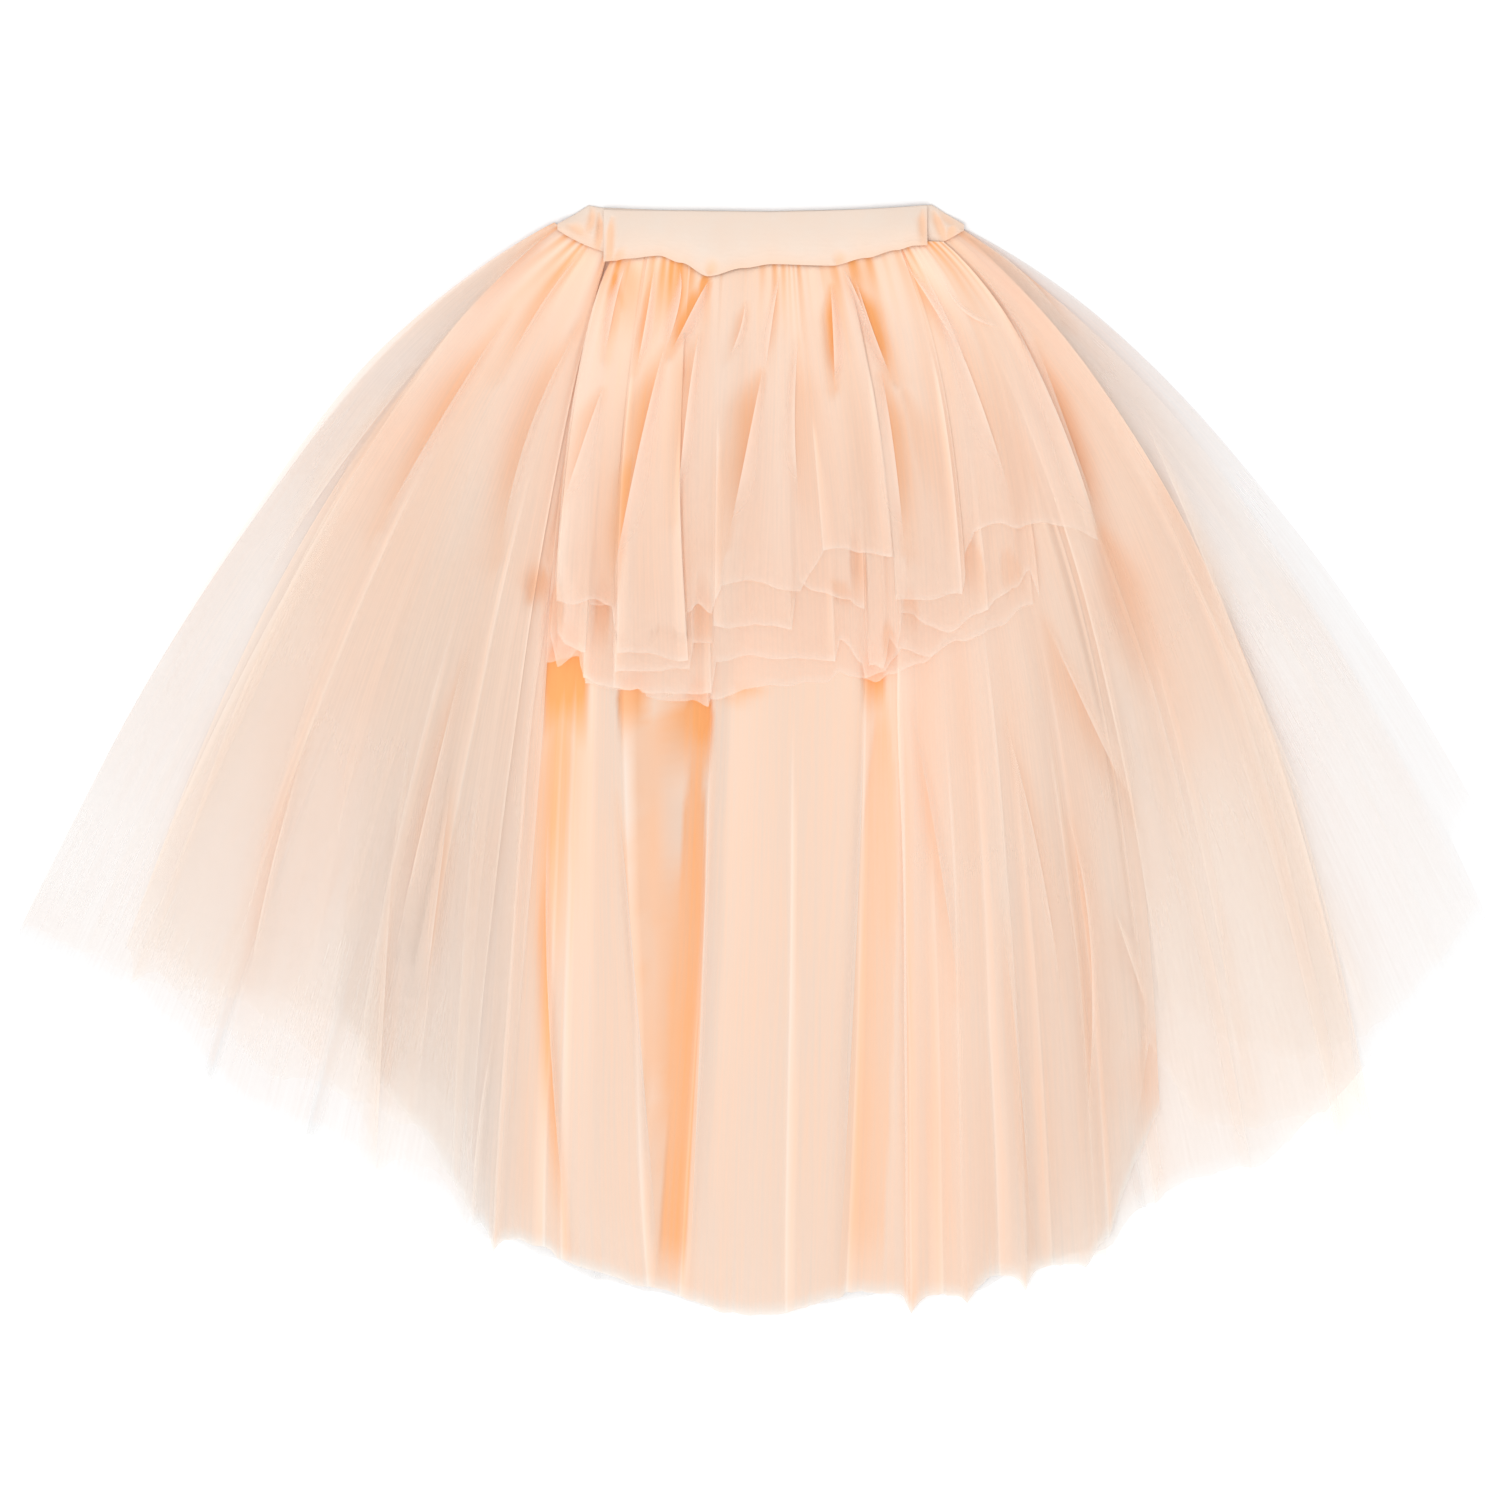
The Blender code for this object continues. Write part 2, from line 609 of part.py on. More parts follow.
def main():
    for old in list(bpy.data.objects):
        bpy.data.objects.remove(old, do_unlink=True)
    pile = Pile()
    floor_layer(pile, LAYERS_UNDER_BAND[0])
    for layer in LAYERS_UNDER_BAND[1:]:
        gathered_layer(pile, layer)
    back_band(pile, "waistband_back", BAND_BACK_SECTIONS, BACK_BAND_RUNGS, 3, JERSEY)
    for layer in LAYERS_OVER_BACK:
        gathered_layer(pile, layer)
    front_band(pile, "waistband_front", BAND_FRONT_SECTIONS, FRONT_BAND_RUNGS, 5, JERSEY)
    for layer in FRONT_LAYERS:
        gathered_layer(pile, layer)


main()
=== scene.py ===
"""Looks of the child's high-low tulle skirt that lies flat with its waist towards +Y.

Every tulle layer is one fine sheet of net, gathered as its fold table says, that lies on
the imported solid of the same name.  The waistband's two halves are doubled jersey.
Tables are in millimetres; meshes are in metres.
"""
import math
from collections import namedtuple

import bpy
import numpy as np
from bpy.props import FloatProperty, FloatVectorProperty, PointerProperty
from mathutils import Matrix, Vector
from mathutils.bvhtree import BVHTree


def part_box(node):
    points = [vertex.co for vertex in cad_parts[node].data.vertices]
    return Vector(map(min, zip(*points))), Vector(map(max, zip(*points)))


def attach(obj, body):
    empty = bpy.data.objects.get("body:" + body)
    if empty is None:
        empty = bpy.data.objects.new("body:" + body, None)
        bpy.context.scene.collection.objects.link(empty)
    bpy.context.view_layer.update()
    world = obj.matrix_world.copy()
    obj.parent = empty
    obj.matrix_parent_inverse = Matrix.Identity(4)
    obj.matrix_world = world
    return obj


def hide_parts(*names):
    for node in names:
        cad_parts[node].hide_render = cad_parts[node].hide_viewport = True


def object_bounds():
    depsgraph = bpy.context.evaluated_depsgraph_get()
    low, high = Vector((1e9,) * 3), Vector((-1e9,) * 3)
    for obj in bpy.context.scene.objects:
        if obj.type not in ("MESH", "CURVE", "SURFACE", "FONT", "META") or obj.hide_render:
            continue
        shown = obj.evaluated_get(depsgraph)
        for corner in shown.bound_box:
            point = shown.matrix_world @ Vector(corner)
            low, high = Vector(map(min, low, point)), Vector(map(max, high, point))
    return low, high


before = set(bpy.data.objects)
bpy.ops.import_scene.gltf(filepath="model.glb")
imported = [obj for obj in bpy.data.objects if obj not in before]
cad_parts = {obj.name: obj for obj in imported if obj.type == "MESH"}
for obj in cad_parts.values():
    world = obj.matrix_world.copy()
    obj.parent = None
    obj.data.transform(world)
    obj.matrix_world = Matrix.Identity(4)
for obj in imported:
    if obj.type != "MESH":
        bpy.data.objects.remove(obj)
CAD_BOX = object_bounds()

bl_info = {
    "name": "Tulle Skirt",
    "version": (1, 0, 0),
    "blender": (4, 5, 0),
    "location": "3D View > Sidebar > Skirt",
    "description": "Builds the net layers, the jersey waistband and the studio of a tulle skirt",
    "category": "Object",
}

MM = 0.001

# Where the seams run; the same sizes as the solids.
MIDDLE_X = 7.0
BACK_SEAM_Y = 322.0
BACK_SEAM_RISE = 22.0
BACK_SEAM_HALF = 132.0

# How a sheet lies.
BOW_REACH = 0.35  # where along a fold line its sideways bow pulls
HEAD_LAP = 3.0  # how far a layer's gathered edge runs on under the band
HEAD_REACH = 9.0  # how far from the seam a layer stays pressed flat
HEM_REACH = 25.0  # how far from its hem a layer droops
HEM_DROOP = 0.6  # how much of its height it loses there
SWAY = 4.0  # how far fold lines wander sideways
WAVES_GROW = 0.9  # share of the length over which the soft waves grow
WANDER = 0.5  # height of wide uneven waves, against the soft ones
WANDER_GROWS = 0.2  # share of the length over which they grow
WANDER_PATCH = (40.0, 220.0)  # their width and length
SPIKE_WIDTH = 5.0  # how narrow the pointed hem folds are
FOLD_EDGE = 1.2  # width of the crisp edge of a doubled stretch
FOLD_OPEN = 0.25  # share of its length over which a doubled stretch begins
FOLD_WIDENS = 0.8  # power with which it grows wider towards the hem
FOLD_WHOLE = 0.4  # share of its width before it starts to thin out
FOLD_RISE = 0.5  # how much higher it stands
GATHER_SPAN = 40.0  # width of cloth over which gathering is measured
TIGHT_GATHER = 2.6  # width of one gather at the seam
TIGHT_RISE = 0.6  # how high the gathers stand
TIGHT_REACH = 30.0  # how far from the seam they run
TIGHT_WANDER = 0.9  # how many gathers they wander sideways
TIGHT_UNEVEN = 0.35  # how uneven their strength is
HOLLOW_DEPTH = 4.5  # depth of the hollow of a crease whose depth is 1
SHEET_GAP = 0.3  # between a sheet and what lies under it

# How creases run: shares of their length and width.
CREASE_START = 0.2  # how wide a hollow starts
CREASE_OPEN = 0.4  # where it has its whole width
SIDE_START = 0.3  # how deep a one-sided hollow starts, against its deepest
SIDE_FADE = 0.08  # share of its length over which its very start fades in
SIDE_LOSS = 0.6  # how much of its depth it loses to its end
SHARP_SIDE = 3.0  # width of a one-sided hollow's steep side
SLOT = 2  # side of a crease that is a slot between two edges
SLOT_EDGE = 2.0  # width of a slot's steep sides
LONG_SLOT = 150.0  # a slot shorter than this fades out softly at its end
SLOT_START = 0.15  # share of its length over which a hollow on both sides begins
LONG_FADE = 0.1  # share of its length over which a long slot ends
SHORT_FADE = 0.6  # and over which a short one ends
FILM_EDGE = 5.0  # width of the crisp side of a see-through layer's fold
FILM_FADE = 0.3  # share of its length over which such a fold comes and goes
LINE_STEPS = 24  # straight steps in which a crease is measured

# How dense and how deep the net looks, with the painted shade and painted light in its colour.
# Densities are in plies; tones, shades and lights are shares of the way to the deep colour and back
# from it.
FOLD_PLIES = 0.6  # plies that a doubled stretch adds, against the one under it
GATHER_POWER = 0.8  # how strongly gathering thickens the net
TIGHT_SHADE = 0.65  # painted shade between the gathers at the seam
TIGHT_LIGHT = 0.12  # how far up a gather's side the painted light goes on growing paler
# painted shade near the seam
SEAM_SHADE = 0.19
SEAM_REACH = 45.0  # how far from the seam that reaches
HEM_THIN = 0.22  # how much thinner the net looks at its hem
HEM_THIN_REACH = 14.0
HEM_FRAY = 0.12  # and how much more along the cut edge itself
HEM_FRAY_REACH = 2.5
CUT_LIGHT = 0.22  # light of a cut edge
CUT_EDGE = 1.5  # how far in from the hem it shows
FORM_DEPTH = 3.0  # height against its surroundings that counts as a full crest, for the painted light and shade of crests and valleys
CREST_HIGHLIGHT = 0.1  # painted light: how much paler a crest looks
# painted shade: how much deeper a valley looks
VALLEY_SHADE = 0.3
HOLLOW_SHADE = 0.6  # painted shade at the bottom of a hollow
DEEPEST = 1.3  # where the painted shade of hollows and valleys together stops growing deeper
UNEVEN_TONE = 0.38  # tone where the net is thicker
THINNEST = 0.15  # density that the net keeps at its thinnest places
LAP_ROLL = 0.35  # strength of the rolled line along a doubled stretch's edge, in plies and in painted highlight
ROLL_COVER = 0.3  # plies that a rolled edge adds
# painted highlight along a rolled edge
ROLL_HIGHLIGHT = 0.38

# The raster on which heights over the table are kept.
CELL = 0.002
MARGIN = 0.03
SOLID_BLUR = 2.2  # cells over which a solid's facets are smoothed
EDGE_FILL = 5.0  # cells over which heights run on past a solid's edge
PILE_BLUR = 1.2  # cells over which the pile under a sheet is smoothed
FORM_REACH = 5.0  # cells over which the surroundings of a fold are averaged
RASTER_TIMES = (6, 3)  # how much finer than a sheet's rows and columns it is filled

# The rolled edge of a fold that lies on a layer: shares of its width, and the strength of the
# painted highlight line at each.
PLY_COLUMNS = (0.0, 0.04, 0.1, 0.2, 0.4, 0.65, 1.0)
PLY_LINE = (0.3, 0.3, 0.22, 0.14, 0.06, 0.0, 0.0)
PLY_OPACITY = 1.8
PLY_LIFT = 0.5
PLY_ENDS = 0.35  # share of its length over which it comes and goes
PLY_POINTS = 41  # points along it
PLY_START = 0.25  # how wide it starts, against its whole width
PLY_OPEN = 0.8  # where it has its whole width
PLY_FADE = 1.5  # power with which it thins out away from its rolled edge

ROW_LIKENESS = 0.65  # how much every second row of a noise's patches is like the one above
# Mixes of smooth noise, a row for each: strength, width and length of its patches.
HEM_NOISE = ((1.0, 14, 1), (0.6, 4, 1))
SWAY_NOISE = ((1.0, 90, 160), (0.4, 40, 90))
STREAK_NOISE = ((0.35, 60, 320), (0.14, 26, 160), (0.45, 75, 75), (0.27, 28, 36), (0.07, 9, 60))

# The net and the jersey, as their node groups draw them.
THREAD_SCALE = (450.0, 16.0, 1.0)  # patches of threads in a metre, across and along
FULL_COVER = 1.06  # cover is scaled by this, so that many plies close the net
CLOUD_SCALE = (45.0, 45.0, 1.0)  # patches of the jersey's soft unevenness in a metre
CLOUD_TONE = 0.3
CLOUD_RELIEF = 2.0
COURSE_LEAN = 1.3  # how far a row of loops dips at each wale
WALE_SHARE = 0.7  # of the loops' relief; the rest is the rows'
LOOP_TONE = 0.15
JERSEY_RELIEF = 0.0001

# The studio, in metres.
FLOOR_Z = -0.0005
LAMP_AT = (-0.5, -0.7, 3.0)
LAMP_SIZE = 2.0
CAMERA_AT = (0.0, 0.0065, 5.0)
VIEW_WIDTH = 0.975
SENSOR = 36.0

# A fold line of a layer leaves the waist seam at seam_x and meets the hem at hem_x, hem_y.
# bow: how far it bellies to the right; spike: extra length at the hem; lap: width of the
# doubled stretch beside it at the hem, on its right or, when negative, on its left;
# start: share of the length at which that begins.
Fold = namedtuple("Fold", "seam_x hem_x hem_y bow spike lap start", defaults=(0, 0, 0))

# A crease is a curved line in plan from its start over its pull to its end.  reach: how
# wide the hollow beside it is; side: where that lies, 1 right, -1 left, 0 on both sides
# and SLOT on both with steep edges; depth: as a share of HOLLOW_DEPTH, of both the hollow
# and the painted shade in it; ply: width of the doubled ply whose rolled edge runs on the
# line, 0 for none.  In a film table side is where the fold's cloth lies and depth the
# plies that it adds, against the layer's own.
Crease = namedtuple(
    "Crease", "start_x start_y pull_x pull_y end_x end_y reach side depth ply", defaults=(0,)
)


def folds(*rows):
    """A layer's table of fold lines, from left to right."""
    return [Fold(*row) for row in rows]


def creases(*rows):
    """A table of creases."""
    return [Crease(*row) for row in rows]


OUTER_BACK_FOLDS = folds(
    (-129, -478, -117, -44), (-120, -448, -128, -40), (-110, -411, -148, -36),
    (-103, -376, -175, -32), (-95, -354, -208, -30, 0, -7, 0.5), (-87, -325, -230, -27),
    (-79, -290, -244, -25, 0, 6, 0.4), (-70, -246, -264, -21), (-60, -207, -283, -17),
    (-51, -169, -309, -13, 0, 8, 0.6), (-40, -130, -323, -10), (-30, -95, -338, -6, 0, -6, 0.4),
    (-18, -62, -344, -4), (-5, -23, -354, -1, 0, 5, 0.6), (8, 16, -356, 0), (21, 57, -351, 1),
    (34, 96, -344, 4, 0, -6, 0.6), (46, 136, -346, 6), (56, 183, -328, 10, 0, 7, 0.5),
    (66, 224, -321, 14), (75, 258, -291, 18, 0, -7, 0.4), (84, 292, -276, 22),
    (94, 333, -264, 26), (102, 374, -228, 30), (110, 419, -172, 34), (118, 452, -139, 36),
    (125, 478, -101, 38), (132, 458, -54, 36), (139, 472, -29, 38),
)

MIDDLE_BACK_FOLDS = folds(
    (-126, -402, -119, -39, 0, 3, 0.2), (-120, -391, -131, -36, 16, 9, 0.3),
    (-112, -367, -151, -34), (-104, -337, -150, -31, 6, 11, 0.5), (-96, -311, -169, -29),
    (-88, -281, -195, -26, 0, -9, 0.5), (-81, -254, -228, -23),
    (-73, -238, -254, -21, 26, 12, 0.55), (-65, -211, -263, -18),
    (-57, -183, -286, -15, 24, -9, 0.6), (-49, -162, -300, -12, 14, 12, 0.5),
    (-40, -130, -318, -8), (-30, -95, -332, -6, 0, -8, 0.6), (-18, -62, -338, -3),
    (-5, -22, -344, -1, 0, 7, 0.6), (9, 16, -347, 0), (23, 57, -342, 1, 0, 8, 0.6),
    (36, 99, -341, 4, 14, -10, 0.6), (48, 138, -341, 7, 8), (58, 174, -324, 11, 18, 10, 0.55),
    (69, 200, -324, 16), (78, 228, -317, 20, 6, -9, 0.5), (87, 263, -281, 25, 6, 12, 0.6),
    (96, 292, -266, 31), (103, 325, -260, 37, 0, -9, 0.4), (111, 358, -247, 43),
    (119, 380, -244, 49, 0, 12, 0.5), (129, 398, -233, 57, 16, 4, 0.1),
)

INNER_BACK_FOLDS = folds(
    (-122, -270, -159, -32), (-116, -242, -205, -29, 0, 7, 0.5), (-109, -214, -240, -25),
    (-103, -192, -273, -21, 0, 9, 0.5), (-98, -174, -296, -17, 8),
    (-93, -162, -309, -14, 12, 8, 0.5), (-90, -150, -312, -13),
    (-87, -131, -318, -13, 0, -6, 0.3), (-84, -120, -326, -14, 0, 5, 0.4),
    (-78, -98, -332, -13), (-72, -64, -340, -13, 0, 4, 0.3), (-39, -59, -342, 5),
    (-35, -55, -343, 7), (-18, -42, -346, 3, 0, 5), (-14, -38, -348, 0), (6, -10, -361, 0),
    (32, 26, -360, 1, 0, 6, 0.5), (75, 57, -350, 5), (78, 62, -346, 5, 0, 4), (81, 96, -343, 5),
    (84, 103, -348, 6, 10, 7, 0.4), (88, 124, -346, 10, 0, -7, 0.6), (92, 140, -346, 13, 8),
    (96, 162, -335, 16, 0, 9, 0.5), (101, 176, -330, 18, 16), (105, 195, -329, 20, 0, -8, 0.5),
    (110, 218, -326, 23, 4), (116, 235, -312, 26, 0, 8, 0.4), (121, 252, -260, 30),
    (126, 266, -228, 35),
)

LEFT_INNER_FOLDS = folds(
    (-126, -385, -124, -40, 0, 4), (-122, -358, -146, -38), (-118, -333, -146, -36, 8, 12, 0.5),
    (-114, -317, -150, -32), (-109, -286, -162, -30, 0, -9, 0.4), (-105, -259, -176, -26),
    (-101, -235, -195, -22, 20, 12, 0.5), (-98, -211, -205, -20),
    (-95, -187, -228, -18, 0, -9, 0.3), (-93, -176, -254, -16, 10),
    (-92, -162, -302, -16, 10, 4),
)

LEFT_OUTER_FOLDS = folds(
    (-129, -473, -107, -43), (-124, -429, -124, -39, 0, 8, 0.4), (-117, -390, -146, -35),
    (-110, -348, -176, -31, 0, -11, 0.35), (-104, -299, -208, -26),
    (-99, -260, -221, -22, 0, 11, 0.5), (-95, -221, -234, -18, 0, -9, 0.3),
    (-92, -182, -260, -16, 0, 3),
)

RIGHT_INNER_FOLDS = folds(
    (87, 101, -343, 5, 8, 4), (90, 121, -341, 9), (94, 138, -342, 13, 8, 9, 0.5),
    (98, 162, -326, 17), (101, 177, -326, 20, 14, -10, 0.4), (105, 202, -322, 22),
    (109, 226, -312, 26, 0, 12, 0.55), (113, 247, -260, 30), (117, 260, -185, 34, 0, -10, 0.3),
    (121, 292, -234, 38), (125, 322, -240, 42, 0, 11, 0.5), (129, 358, -228, 47, 4),
    (133, 377, -208, 51, 0, -9, 0.3), (136, 391, -214, 56, 10, 4),
)

RIGHT_OUTER_FOLDS = folds(
    (117, 266, -156, 30, 0, 3), (122, 312, -182, 34, 0, -9, 0.4), (125, 358, -195, 36),
    (129, 400, -179, 38, 0, 11, 0.5), (132, 422, -156, 39), (135, 448, -130, 39, 0, -8, 0.3),
    (138, 471, -94, 39),
)

FRONT_LONGEST_FOLDS = folds(
    (-88, -131, 65, -9), (-85, -117, 64, -9), (-82, -109, 70, -8),
    (-81, -107, 50, -8, 0, 5, 0.7), (-72, -90, 46, -6), (-60, -73, 45, -4), (-58, -70, 40, -4),
    (-39, -39, 38, -2), (-30, -27, 34, -1, 0, -4, 0.7), (-28, -25, 42, -1), (-10, -6, 44, 0),
    (10, 13, 47, 0), (45, 51, 46, 3), (51, 59, 54, 4), (67, 79, 51, 5), (76, 89, 59, 6),
    (91, 110, 62, 9), (103, 131, 81, 12), (114, 153, 92, 14),
)

FRONT_LONG_FOLDS = folds(
    (-88, -130, 78, -9), (-87, -124, 60, -9), (-78, -109, 69, -8),
    (-77, -107, 53, -8, 0, 5, 0.7), (-69, -98, 49, -6), (-65, -90, 48, -5),
    (-64, -88, 48, -5, 0, 5, 0.6), (-55, -73, 46, -4), (-54, -70, 42, -4), (-37, -39, 41, -2),
    (-27, -25, 46, -1, 0, -5, 0.7), (-25, -22, 64, -1), (-11, -6, 66, 0), (23, 32, 64, 1),
    (41, 55, 62, 2, 0, -6, 0.6), (44, 58, 78, 3), (58, 73, 65, 4), (60, 75, 55, 5),
    (70, 88, 57, 6), (77, 98, 72, 8), (88, 117, 65, 9), (98, 136, 78, 11), (109, 162, 86, 14),
    (117, 183, 99, 17),
)

FRONT_SHORT_FOLDS = folds(
    (-89, -128, 105, -9), (-88, -126, 83, -9), (-83, -120, 78, -8),
    (-76, -108, 72, -6, 0, -5, 0.5), (-74, -105, 100, -6), (-65, -90, 100, -5),
    (-64, -88, 57, -5, 0, 6, 0.6), (-51, -65, 56, -3), (-36, -40, 57, -2), (-33, -37, 77, -2),
    (-21, -24, 76, -1), (-20, -22, 86, -1, 0, 6, 0.6), (5, 10, 85, 0), (20, 31, 87, 1),
    (23, 34, 116, 1, 0, 5, 0.7), (32, 46, 112, 2), (47, 65, 107, 4),
    (56, 76, 96, 5, 0, -5, 0.7), (58, 79, 64, 5), (65, 88, 60, 6), (67, 91, 78, 7),
    (71, 96, 68, 7), (72, 98, 95, 7), (81, 114, 86, 9), (90, 130, 83, 11),
    (102, 153, 96, 13, 0, -6, 0.6), (109, 169, 114, 16), (114, 182, 122, 17),
    (117, 188, 105, 18),
)

FRONT_TOP_FOLDS = folds(
    (-90, -126, 126, -10), (-90, -125, 104, -10), (-85, -113, 100, -9), (-76, -99, 104, -7),
    (-68, -90, 102, -5), (-66, -88, 70, -5, 0, 9, 0.3), (-55, -72, 68, -5),
    (-40, -40, 65, -3, 0, -8, 0.45), (-38, -38, 94, -3), (-29, -31, 101, -2), (-20, -23, 96, 0),
    (-17, -21, 104, 0, 0, 8, 0.5), (-7, -17, 112, 4), (12, 6, 113, 4), (24, 32, 110, 0),
    (31, 47, 133, 1, 0, 7, 0.6), (38, 62, 136, 2), (46, 73, 133, 3),
    (62, 95, 131, 6, 0, -9, 0.4), (63, 96, 105, 6), (81, 117, 103, 9),
    (97, 139, 105, 10, 0, -8, 0.35), (98, 140, 135, 10), (104, 146, 149, 12),
    (109, 162, 155, 13), (113, 176, 150, 14), (117, 188, 151, 16), (123, 208, 148, 17),
    (127, 224, 145, 16),
)

FRONT_CREASES = creases(
    (-94, 244, -105, 216, -124, 156, 10, -1, 0.55, 17),
    (-53, 276, -72, 212, -90, 109, 13, -1, 0.7, 20),
    (9, 257, 1, 218, -15, 138, 15, -1, 0.85, 17),
    (52, 312, 54, 278, 55, 240, 6, -1, 1, 10),
    (68, 314, 78, 280, 92, 246, 8, 1, 1.1, 9),
    (84, 256, 94, 208, 100, 135, 11, 1, 0.9, 20),
    (109, 324, 144, 259, 170, 166, 11, 1, 0.32, 20),
    (163, 299, 208, 218, 228, 138, 17, 1, 0.8, 22),
    (-72, 220, -81, 175, -88, 104, 10, -1, 0.95),
    (96, 250, 112, 205, 124, 140, 9, 0, 0.35),
    (-29, 316, -30, 306, -36, 292, 3, 0, 1),
    (-88, 318, -86, 300, -80, 282, 5, 0, 0.8),
    (20, 318, 14, 285, 10, 250, 4, 1, 0.25, 8),
    (98, 325, 122, 290, 140, 255, 5, -1, 0.35, 9),
    (-62, 322, -66, 290, -74, 250, 4, -1, 0.55, 8),
    (-32, 280, -40, 250, -48, 156, 9, -1, 0.35, 12),
    (32, 280, 26, 218, 32, 169, 10, 1, 0.3, 13),
    (-80, 322, -86, 306, -94, 260, 5, 1, 0.6, 8),
    (-46, 320, -40, 303, -56, 262, 5, 1, 0.5, 8),
    (-26, 312, -34, 300, -52, 262, 6, -1, 1, 12),
    (60, 320, 72, 300, 80, 270, 4, 1, 0.55, 8),
    (124, 315, 132, 284, 163, 280, 3, -1, 0, 5),
    (-3, 299, -4, 280, -14, 260, 5, -1, 0.35, 6),
    (-84, 328, -76, 312, -80, 262, 11, 0, 0.45),
    (-46, 330, -48, 312, -60, 265, 12, 0, 0.5),
    (64, 330, 66, 318, 74, 285, 8, 0, 0.45),
)

BACK_CREASES = creases(
    (-33, 50, -38, -120, -53, -352, 8, SLOT, 0.54),
    (-25, 50, -29, -120, -40, -350, 2, -1, 0.2, 14),
    (86, 50, 86, -60, 74, -348, 11, SLOT, 0.2),
    (74, 49, 73, -72, 57, -348, 2, 1, 0.1, 14),
    (-118, 70, -126, -20, -140, -190, 14, 0, 0.48),
    (-87, -13, -76, -108, -58, -344, 5, 1, 0.3, 9),
    (-68, 55, -66, -60, -57, -230, 12, SLOT, 0.26),
    (-130, -20, -139, -135, -116, -334, 6, -1, 0.6, 10),
    (101, 49, 124, -56, 136, -156, 6, -1, 0.35, 10),
    (99, 46, 101, -31, 103, -348, 5, 1, 0.4, 9),
    (162, -91, 176, -186, 183, -318, 6, -1, 0.35, 9),
    (260, -169, 280, -216, 260, -254, 26, 0, 0.45),
    (-119, 95, -119, 50, -121, -15, 13, SLOT, 0.9),
    (-76, 62, -75, 38, -72, 0, 10, SLOT, 0.78),
    (-33, 62, -34, 23, -37, -30, 9, SLOT, 0.86),
    (80, 82, 80, 52, 81, 22, 6, SLOT, 0.65),
    (-5, 49, -3, 42, -1, 35, 14, 0, 0.4),
)

LEFT_CREASES = creases(
    (-92, 321, -102, 242, -131, 130, 10, 1, 0.7, 17),
    (-131, 130, -124, 92, -164, -315, 16, 1, 0.7, 17),
    (-104, 292, -153, 217, -162, 130, 12, -1, 0.5, 17),
    (-150, 299, -209, 212, -240, 150, 13, -1, 0.45, 18),
    (-195, 280, -270, 191, -306, 130, 9, 1, 0.4, 13),
    (-192, 0, -204, -104, -211, -156, 8, 1, 0.4, 12),
    (-229, -26, -240, -211, -244, -280, 8, 1, 0.45, 13),
    (-285, 20, -318, -85, -326, -153, 8, -1, 0.4, 12),
    (-182, 305, -357, 37, -403, -119, 5, -1, 0, 26),
    (-182, 78, -210, -26, -231, -130, 10, -1, 0.35, 14),
    (-124, 347, -150, 327, -176, 299, 5, 1, 0.35, 8),
    (-104, 335, -133, 307, -162, 247, 8, -1, 0.4, 10),
    (-162, -156, -180, -236, -181, -309, 6, -1, 0.35, 8),
    (-143, 98, -140, 125, -126, 126, 8, 0, 0.6),
    (-133, 126, -135, 109, -136, 94, 9, 0, 0.7),
)

LEFT_FILMS = creases(
    (-292, 169, -266, 198, -228, 254, 12, -1, 0.8),
)

RIGHT_CREASES = creases(
    (188, 98, 218, 30, 248, -30, 13, -1, 0.6, 17),
    (182, 280, 208, 212, 227, 153, 10, 1, 0.6, 17),
    (222, 170, 252, 80, 262, 24, 14, 0, 0.5),
    (249, 234, 292, 144, 312, 78, 10, -1, 0.4, 16),
    (286, 150, 336, 28, 370, -49, 9, 1, 0.35, 13),
    (249, 234, 364, -5, 402, -244, 5, 1, 0, 22),
    (234, -91, 247, -130, 260, -169, 8, -1, 0.5, 12),
    (140, 343, 178, 324, 208, 280, 6, 1, 0.4, 9),
    (133, 332, 164, 305, 188, 254, 8, -1, 0.1, 10),
    (202, -26, 233, -108, 216, -254, 9, -1, 0.35, 12),
    (162, 39, 194, -72, 202, -156, 9, 1, 0.35, 12),
)

RIGHT_FILMS = creases(
    (354, -72, 396, -133, 403, -182, 12, 1, 0.8),
    (325, 143, 382, 62, 419, 46, 14, -1, 1.2),
    (246, -150, 262, -205, 276, -252, 16, -1, 1.4),
    (300, 160, 400, 20, 478, -101, 22, -1, 0.8),
)

# Slots between the front's layers under their hems: hollows with painted shade in them.
UNDER_CREASES = creases(
    (-95, 125, -95, 95, -98, 62, 4, SLOT, 0.41),
    (-31, 125, -30, 90, -30, 52, 5, SLOT, 0.41),
    (67, 150, 72, 120, 71, 90, 4, SLOT, 0.36),
    (52, 118, 62, 106, 72, 98, 4, SLOT, 0.27),
    (102, 115, 106, 92, 103, 74, 4, SLOT, 0.32),
    (88, 92, 91, 72, 92, 52, 3, SLOT, 0.36),
    (138, 150, 146, 122, 150, 98, 6, SLOT, 0.25),
    (164, 140, 172, 115, 176, 98, 6, SLOT, 0.2),
    (-124, 118, -126, 92, -128, 70, 4, SLOT, 0.41),
)

BACK_BAND_CREASES = creases(
    (-104, 360, -100, 350, -107, 341, 3, -1, 0.8),
    (-98, 357, -96, 345, -99, 330, 2, 1, 1),
    (-120, 348, -112, 344, -106, 340, 4, 1, 0.6),
    (119, 358, 122, 348, 127, 336, 3, 1, 0.9),
    (133, 349, 130, 343, 129, 336, 3, -1, 0.7),
    (122, 356, 128, 350, 135, 347, 3, -1, 0.5),
)

